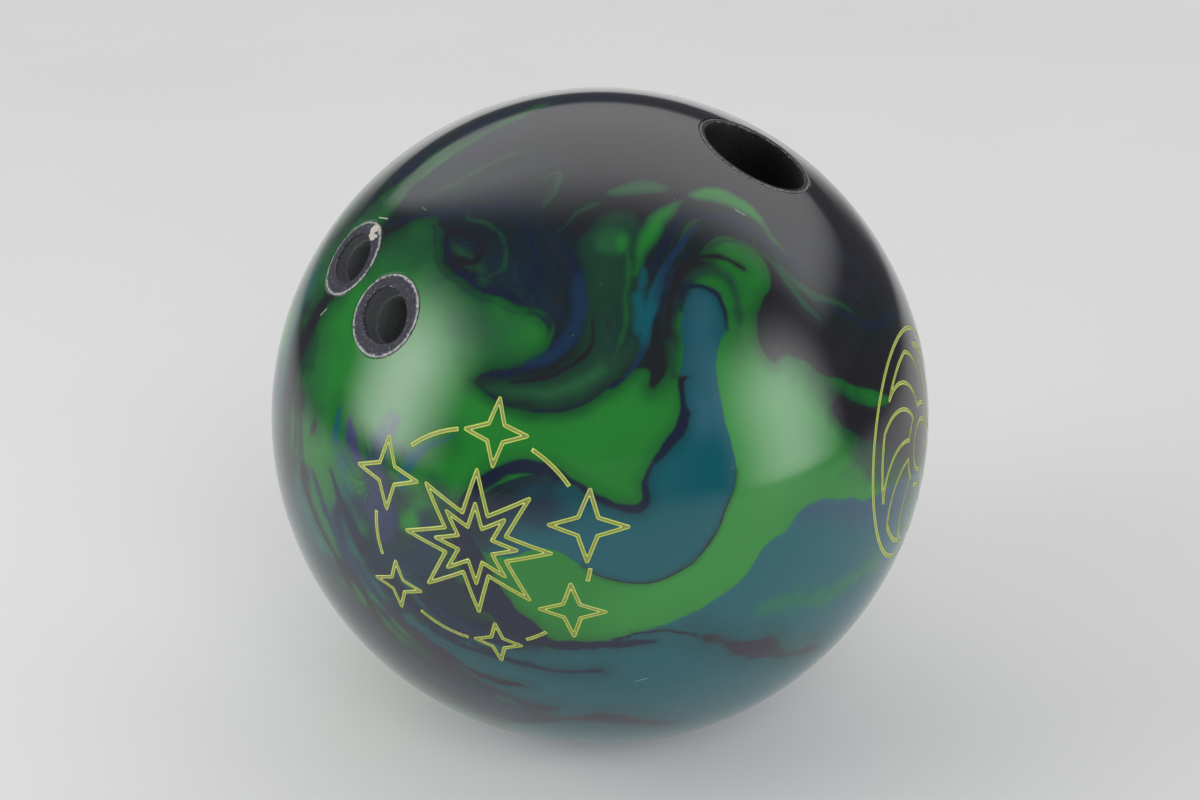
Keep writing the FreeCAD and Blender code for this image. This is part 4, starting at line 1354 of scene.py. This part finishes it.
class Shader:
    """Adds nodes to one node tree. An input may be a number, a colour or another node's socket."""

    def __init__(self, tree):
        self.tree = tree
        tree.nodes.clear()

    def node(self, kind, inputs=(), **settings):
        made = self.tree.nodes.new("ShaderNode" + kind)
        for name, value in settings.items():
            setattr(made, name, value)
        for name, value in dict(inputs).items():
            socket = made.inputs[name]
            if isinstance(value, bpy.types.NodeSocket):
                self.tree.links.new(value, socket)
            elif socket.type == "RGBA":
                socket.default_value = (*value, 1.0)
            else:
                socket.default_value = value
        return made

    def math(self, operation, a, b=0.0):
        return self.node("Math", {0: a, 1: b}, operation=operation).outputs[0]

    def plus(self, a, b):
        return self.math("ADD", a, b)

    def times(self, a, b):
        return self.math("MULTIPLY", a, b)

    def vector(self, operation, inputs, output=0):
        return self.node("VectorMath", inputs, operation=operation).outputs[output]

    def smooth(self, low, high, value):
        """0 below low, 1 above high, smooth between."""
        inputs = {"Value": value, "From Min": low, "From Max": high}
        return self.node("MapRange", inputs, interpolation_type="SMOOTHSTEP").outputs[0]

    def mix(self, share, one, other):
        return self.node("Mix", {0: share, 6: one, 7: other}, data_type="RGBA").outputs[2]

    def attribute(self, name):
        return self.node("Attribute", attribute_name=name)

    def value(self, name):
        return self.attribute(name).outputs["Fac"]

    def colour(self, name):
        return self.attribute(name).outputs["Color"]

    def place(self):
        return self.node("TexCoord").outputs["Object"]

    def noise(self, vector, scale, detail=2.0, roughness=0.5, along=None, curl=0.0):
        """Noise in -1..1, about. With along, it also changes with that fourth value; curl folds it over."""
        inputs = {"Vector": vector, "Scale": scale, "Detail": detail, "Roughness": roughness}
        inputs["Distortion"] = curl
        if along is not None:
            inputs["W"] = along
        made = self.node("TexNoise", inputs, noise_dimensions="3D" if along is None else "4D")
        return self.times(self.math("SUBTRACT", made.outputs["Fac"], 0.5), 2.0)

    def distance_to(self, place, start, end):
        """Distance in metres to the straight line between two directions' points on the ball."""
        a, b = (from_map([at], FRONT)[0] * BALL_R * MM for at in (start, end))
        run = b - a
        offset = self.vector("SUBTRACT", {0: place, 1: tuple(a)})
        along = self.vector("DOT_PRODUCT", {0: offset, 1: tuple(run / (run @ run))}, 1)
        share = self.math("MINIMUM", self.math("MAXIMUM", along, 0.0), 1.0)
        foot = self.vector("SCALE", {0: tuple(run), "Scale": share})
        return self.vector("DISTANCE", {0: offset, 1: foot}, 1)

    def finish(self, colour, roughness, height=None, strength=0.0, depth=0.0, **more):
        """The surface: a principled shader, with bumps where a height is given. Depth is in metres."""
        inputs = {"Base Color": colour, "Roughness": roughness, **more}
        if height is not None:
            bump = self.node("Bump", {"Height": height, "Strength": strength, "Distance": depth})
            inputs["Normal"] = bump.outputs[0]
        shader = self.node("BsdfPrincipled", inputs)
        self.tree.links.new(shader.outputs[0], self.node("OutputMaterial").inputs["Surface"])


def material(name):
    made = bpy.data.materials.new(name)
    made.use_nodes = True
    return made, Shader(made.node_tree)


def cover_material():
    """Poured urethane: the marbling's edges are sharpened here, where noise can tear and comb them."""
    made, s = material("swirled_urethane")
    place = s.place()
    wander = s.noise(place, 260.0, 3)
    fine = s.noise(place, 1100.0, 2)
    flow = s.value("flow")
    swirl = s.value("swirl")
    curl = s.noise(place, 60.0, 4, 0.6, curl=1.5)
    comb = s.noise(place, 17.0, 2, 0.5, s.times(flow, 0.18), 0.7)
    comb_fine = s.noise(place, 24.0, 3, 0.5, s.times(flow, 0.28), 1.0)
    tear = s.plus(s.times(wander, 0.35), s.times(fine, 0.15))
    pull = s.plus(s.times(comb, COMB_PULL), s.times(curl, CURL_PULL))
    teased = s.plus(tear, s.times(pull, swirl))

    colour = s.colour("base_tint")
    cloud = s.noise(place, 28.0, 4, 0.6)
    colour = s.mix(s.times(s.smooth(-0.1, 0.9, cloud), 0.25), colour, tuple(FERN))

    def lay(colour, layer, edge_noise, halo=0.0):
        edge = s.plus(s.value(layer + "_edge"), edge_noise)
        near = s.times(s.smooth(-HALO_REACH, 1.0, edge), halo)
        colour = s.mix(near, colour, tuple(DEEP))
        return s.mix(s.smooth(-1.0, 1.0, edge), colour, s.colour(layer + "_tint"))

    def drawn_out(colour, low, high, lines, share, shade):
        """Fine lines of one shade, only in the combed zones."""
        line = s.times(s.smooth(low, high, lines), swirl)
        return s.mix(s.times(line, share), colour, shade)

    colour = lay(colour, "dark", teased, 0.55)
    colour = lay(colour, "teal", tear)
    inks = s.mix(s.smooth(-0.2, 0.3, s.noise(place, 35.0, 2)), tuple(INK), tuple(BLUE))
    light = s.mix(s.smooth(-0.1, 0.2, s.noise(place, 24.0, 2, 0.5)), tuple(MOSS), tuple(SLATE))
    colour = drawn_out(colour, 0.02, 0.22, comb, 0.85, inks)
    colour = drawn_out(colour, 0.1, 0.32, comb_fine, 0.7, light)
    colour = drawn_out(colour, 0.06, 0.3, s.times(comb_fine, -1.0), 0.75, tuple(NIGHT))

    green_edge = s.plus(s.value("green_edge"), tear)
    green = s.mix(s.smooth(-0.5, GREEN_DEPTH, green_edge), tuple(MOSS), s.colour("green_tint"))
    colour = s.mix(s.smooth(-1.0, 1.0, green_edge), colour, green)
    colour = lay(colour, "thread", tear, 0.35)

    specks = s.node("TexVoronoi", {"Vector": place, "Scale": 420.0}, feature="F1").outputs
    lot = s.node("TexWhiteNoise", {"Vector": specks["Position"]}).outputs["Value"]
    dot = s.times(s.smooth(0.1, 0.05, specks["Distance"]), s.smooth(0.975, 0.98, lot))
    colour = s.mix(s.times(dot, 0.5), colour, SPECK)
    for start, end, half, shade in SCRATCHES:
        away = s.plus(s.distance_to(place, start, end), s.times(fine, 2 * SCRATCH_SOFT))
        colour = s.mix(s.smooth(half + SCRATCH_SOFT, half, away), colour, shade)

    scuffs = s.noise(place, 140.0, 5, 0.7)
    roughness = s.plus(0.1, s.times(s.smooth(0.0, 1.0, scuffs), 0.05))
    peel = s.plus(s.times(wander, 0.3), s.times(dot, 2.0))
    s.finish(colour, roughness, peel, 0.05, 0.0002, IOR=1.56)
    return made


def rubber_material(name, shades, seed):
    """Speckled soft rubber, pale where the shop's wheel and thumb have torn its edges."""
    made, s = material(name)
    dark, light, inner, edge = shades
    place = s.place()
    worn = s.plus(s.value("wear"), s.times(s.noise(place, 900.0, 3, 0.7), 0.9))
    speck = s.noise(place, 1500.0 + seed, 2, 0.7)
    colour = s.mix(s.smooth(0.1, 0.6, speck), dark, light)
    pits = s.smooth(0.0, -0.8, s.noise(place, 1100.0, 2))
    colour = s.mix(pits, colour, tuple(0.45 * c for c in dark))
    colour = s.mix(s.times(s.value("wall"), 0.85), colour, inner)
    colour = s.mix(s.smooth(0.55, 1.15, worn), colour, edge)
    torn = s.times(s.value("torn"), s.plus(1.0, s.noise(place, 700.0, 3, 0.7)))
    colour = s.mix(s.smooth(0.35, 0.75, torn), colour, TORN_SHADE)
    height = s.plus(speck, s.times(s.noise(place, 420.0, 4, 0.7), 1.5))
    s.finish(colour, s.plus(0.62, s.times(speck, 0.12)), height, 0.5, 0.0003)
    return made


def paint_material():
    """Yellow-green engraving paint: bright where it creeps up the groove's edges, partly as a painted
    highlight, and dull in the middle, partly as painted shade.
    """
    made, s = material("engraving_paint")
    place = s.place()
    blotch = s.noise(place, 500.0, 3, 0.6)
    rim = s.plus(s.value("rim"), s.times(blotch, 0.15))
    bright = s.mix(s.smooth(0.1, 0.5, s.noise(place, 45.0, 2)), tuple(PAINT_GREEN), tuple(PAINT_PALE))
    # Bright on the edges and dull in the middle: partly the paint's own colours, partly a painted highlight
    # and painted shade.
    colour = s.mix(s.smooth(0.3, 0.75, rim), tuple(PAINT_DULL), bright)
    s.finish(colour, s.plus(0.42, s.times(blotch, 0.1)), blotch, 0.35, 0.0002)
    return made


def plain_material(name, dark, light, scale, roughness, grain):
    """Two shades of one stuff in a grain of the given scale, for glue, filler, core and foam."""
    made, s = material(name)
    place = s.place()
    mottle = s.noise(place, scale, 4, 0.6)
    colour = s.mix(s.smooth(-0.6, 0.6, mottle), dark, light)
    height = s.noise(place, scale * 4, 3, 0.6)
    s.finish(colour, s.plus(roughness, s.times(mottle, 0.1)), height, grain, 0.0004)
    return made


# ---- stage ---------------------------------------------------------------------------------------
def sweep():
    """A pale floor that curves up into a low wall all round, turned from one profile."""
    floor_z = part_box("coverstock")[0].z / MM
    start = SWEEP_R - SWEEP_BEND
    profile = [(radius, 0) for radius in (0.01, 200, 600, 1200, start)]
    for angle in np.radians(np.arange(15, 91, 15)):
        profile.append((start + SWEEP_BEND * math.sin(angle), SWEEP_BEND * (1 - math.cos(angle))))
    profile.append((SWEEP_R, SWEEP_TOP))
    upright = Hole(np.eye(3), np.zeros(3), 0, 0, SWEEP_POINTS)
    rings = [ring_at(upright, radius, floor_z + z, SWEEP_POINTS) for radius, z in profile]
    floor = make_piece("sweep", *loft(rings, False))
    made, s = material("pale_paper")
    place = s.place()
    colour = s.mix(s.smooth(-1.0, 1.0, s.noise(place, 3.0, 3)), FLOOR_DARK, FLOOR_LIGHT)
    x = s.node("SeparateXYZ", {0: place}).outputs[0]
    past_left = s.smooth(PAPER_LEFT * MM, (PAPER_LEFT - PAPER_FADE) * MM, x)
    past_right = s.smooth(PAPER_RIGHT * MM, (PAPER_RIGHT + PAPER_FADE) * MM, x)
    mirrored = s.node("LightPath").outputs["Is Glossy Ray"]
    colour = s.mix(s.times(s.plus(past_left, past_right), mirrored), colour, ROOM_DARK)
    s.finish(colour, 0.9, **{"Specular IOR Level": 0.1})
    floor.data.materials.append(made)


def place_light(name, light, place, aim=(0, 0, 0)):
    made = bpy.data.objects.new(name, light)
    made.location = Vector(place) * MM
    made.rotation_mode = "QUATERNION"
    made.rotation_quaternion = (Vector(place) - Vector(aim)).to_track_quat("Z", "Y")
    made.visible_camera = False
    bpy.context.scene.collection.objects.link(made)
    return made


def softbox(name, place, aim, size, radiance, fade, far_share=1.0, cut=0.0):
    """An area light at one place that looks at another, in millimetres, and fades towards its edges.

    The overhead lights also fade from their near edge to the share given for their far edge, and
    their near left corner may be cut back.
    """
    light = bpy.data.lights.new(name, "AREA")
    light.shape = "RECTANGLE"
    light.size, light.size_y = size[0] * MM, size[1] * MM
    light.energy = radiance * math.pi * light.size * light.size_y
    light.use_nodes = True
    s = Shader(light.node_tree)
    across, up = s.node("SeparateXYZ", {0: s.node("NewGeometry").outputs["Parametric"]}).outputs[:2]
    side, low, high = fade
    shine = s.times(s.smooth(0.0, side, across), s.smooth(1.0, 1.0 - side, across))
    shine = s.times(shine, s.smooth(0.0, low, up))
    half_across = s.math("MAXIMUM", s.math("SUBTRACT", across, 0.5), 0.0)
    corner = s.times(s.math("POWER", half_across, 2.0), cut / 0.5 ** 2)
    shine = s.times(shine, s.smooth(1.0, 1.0 - high, s.plus(up, corner)))
    nearness = s.math("POWER", up, FALL_OFF)
    slope = s.node("MapRange", {"Value": nearness, "From Max": FALL_TO, "To Min": far_share, "To Max": 1.0})
    shine = s.times(shine, slope.outputs[0])
    glow = s.node("Emission", {"Strength": shine})
    s.tree.links.new(glow.outputs[0], s.node("OutputLight").inputs[0])
    return place_light(name, light, place, aim)


def side_lights():
    half = math.radians(SIDE_SPREAD / 2)
    dimmer = 1 - half / math.tan(half)   # a narrower spread brightens the middle of the beam by this much
    for name, at, size, radiance in (
        ("left_softbox", LEFT_BOX_AT, LEFT_BOX, LEFT_RADIANCE),
        ("right_softbox", RIGHT_BOX_AT, RIGHT_BOX, RIGHT_RADIANCE),
    ):
        box = softbox(name, facing(*at) * BOX_DISTANCE, (0, 0, 0), size, radiance * dimmer, SIDE_FADE)
        box.data.spread = math.radians(SIDE_SPREAD)
    fill = bpy.data.lights.new("front_fill", "SUN")
    fill.energy, fill.angle = FILL_STRENGTH, math.radians(FILL_ANGLE)
    place_light("front_fill", fill, facing(*FILL_AT) * BOX_DISTANCE).visible_glossy = False


def overhead_lights():
    """Two lights in nearly one place: one that the ball mirrors, and one that lights the floor."""
    far_edge = OVERHEAD_Z / math.tan(math.radians(OVERHEAD_EDGE))
    along = (far_edge + OVERHEAD_NEAR) / 2
    size = (OVERHEAD_WIDE, far_edge - OVERHEAD_NEAR)

    def overhead(name, height, radiance, cut=0.0):
        place, below = (0, along, height), (0, along, 0)
        return softbox(name, place, below, size, radiance, OVERHEAD_FADE, OVERHEAD_FAR_SHARE, cut)

    shine = overhead("overhead_shine", OVERHEAD_Z, OVERHEAD_SHINE, OVERHEAD_CUT)
    shine.visible_diffuse = False
    glow = overhead("overhead_glow", OVERHEAD_Z + GLOW_LIFT, OVERHEAD_GLOW)
    glow.visible_glossy = False


def world():
    """A dark room in reflections, pale past the sweep for the camera, and a dim even light for the rest."""
    made = bpy.data.worlds.new("studio")
    bpy.context.scene.world = made
    made.use_nodes = True
    s = Shader(made.node_tree)
    ray = s.node("LightPath").outputs
    colour = s.mix(ray["Is Glossy Ray"], ROOM_DIM, ROOM_DARK)
    colour = s.mix(ray["Is Camera Ray"], colour, ROOM_PALE)
    s.tree.links.new(s.node("Background", {"Color": colour}).outputs[0], s.node("OutputWorld").inputs[0])


def camera():
    data = bpy.data.cameras.new("camera")
    data.lens = CAMERA_LENS
    made = bpy.data.objects.new("camera", data)
    distance = CAMERA_REACH * BALL_R * MM
    out, up = Vector(FRONT[2]), Vector(FRONT[1])
    made.location = out * distance
    aim = up * distance * math.tan(math.radians(CAMERA_TILT))
    made.rotation_mode = "QUATERNION"
    made.rotation_quaternion = (made.location - aim).to_track_quat("Z", "Y")
    bpy.context.scene.collection.objects.link(made)
    bpy.context.scene.camera = made


# ---- assembly ------------------------------------------------------------------------------------
# CAD nodes that keep their own mesh: name, two shades, scale of the grain, roughness, depth of the grain.
INSIDE = {
    "outer_core": ("filler", (0.32, 0.29, 0.25), (0.42, 0.39, 0.34), 260.0, 0.8, 0.5),
    "weight_block": ("dense_core", (0.50, 0.12, 0.08), (0.62, 0.17, 0.12), 180.0, 0.5, 0.3),
    "flip_block": ("flip_core", (0.08, 0.08, 0.1), (0.13, 0.13, 0.15), 180.0, 0.5, 0.3),
    "thumb_sleeve_foam": ("foam", (0.01, 0.01, 0.011), (0.03, 0.03, 0.032), 900.0, 0.95, 0.8),
}
GLUE_NODES = ("middle_finger_glue", "ring_finger_glue", "thumb_sleeve_glue")


def build_cover_and_inlays():
    skin, directions, band, is_edge = cover_skin()
    looks = marble(unit(skin.points))
    cover = make_piece("cover", skin.points, skin.triangles, skin.normals, looks)
    finish_piece(cover, cover_material(), "coverstock", "coverstock")

    paint = paint_material()
    top = np.where(is_edge, BALL_R - PAINT_EDGE, BALL_R - PAINT_MIDDLE)
    for name, node in EMBLEMS.items():
        centre = unit(node_points(node).mean(0))
        mine = directions[band].mean(1) @ centre > math.cos(math.radians(EMBLEM_REACH))
        points, faces, used = inlay(directions, band[mine], top, BALL_R - GROOVE_DEPTH + PAINT_GAP)
        rim = np.concatenate([is_edge[used], is_edge[used]]).astype(float)
        finish_piece(make_piece(name, points, faces, None, {"rim": rim}), paint, "emblem_paint", node)


def build_inserts():
    rubber = rubber_material("grip_rubber", GRIP_SHADES, 0.0)
    middle = finger_grip("middle_grip", "middle_finger_insert", MIDDLE, 3)
    finish_piece(middle, rubber, "grip_rubber", "middle_finger_insert")
    ring = finger_grip("ring_grip", "ring_finger_insert", RING, 8)
    finish_piece(ring, rubber, "grip_rubber", "ring_finger_insert")
    black = rubber_material("sleeve_urethane", SLEEVE_SHADES, 300.0)
    finish_piece(thumb_cup("thumb_cup", "thumb_sleeve"), black, "thumb_sleeve", "thumb_sleeve")
    pin = plain_material("pin_resin", tuple(PIN_DARK), tuple(PIN_LIGHT), 160.0, 0.3, 0.05)
    finish_piece(locator_pin("locator_pin", "core_pin"), pin, "core_pin", "core_pin")


def finish_inside():
    """Gives the CAD nodes that stay their materials."""
    finishes = {node: plain_material(*look) for node, look in INSIDE.items()}
    glue = plain_material("cured_glue", (0.28, 0.27, 0.26), (0.5, 0.49, 0.48), 700.0, 0.5, 0.5)
    finishes.update(dict.fromkeys(GLUE_NODES, glue))
    for node, finish in finishes.items():
        slots = frame["nodes"][node].data.materials
        slots.clear()
        slots.append(finish)


build_cover_and_inlays()
build_inserts()
finish_inside()
sweep()
side_lights()
overhead_lights()
world()
camera()
bpy.context.scene.view_settings.view_transform = "Standard"
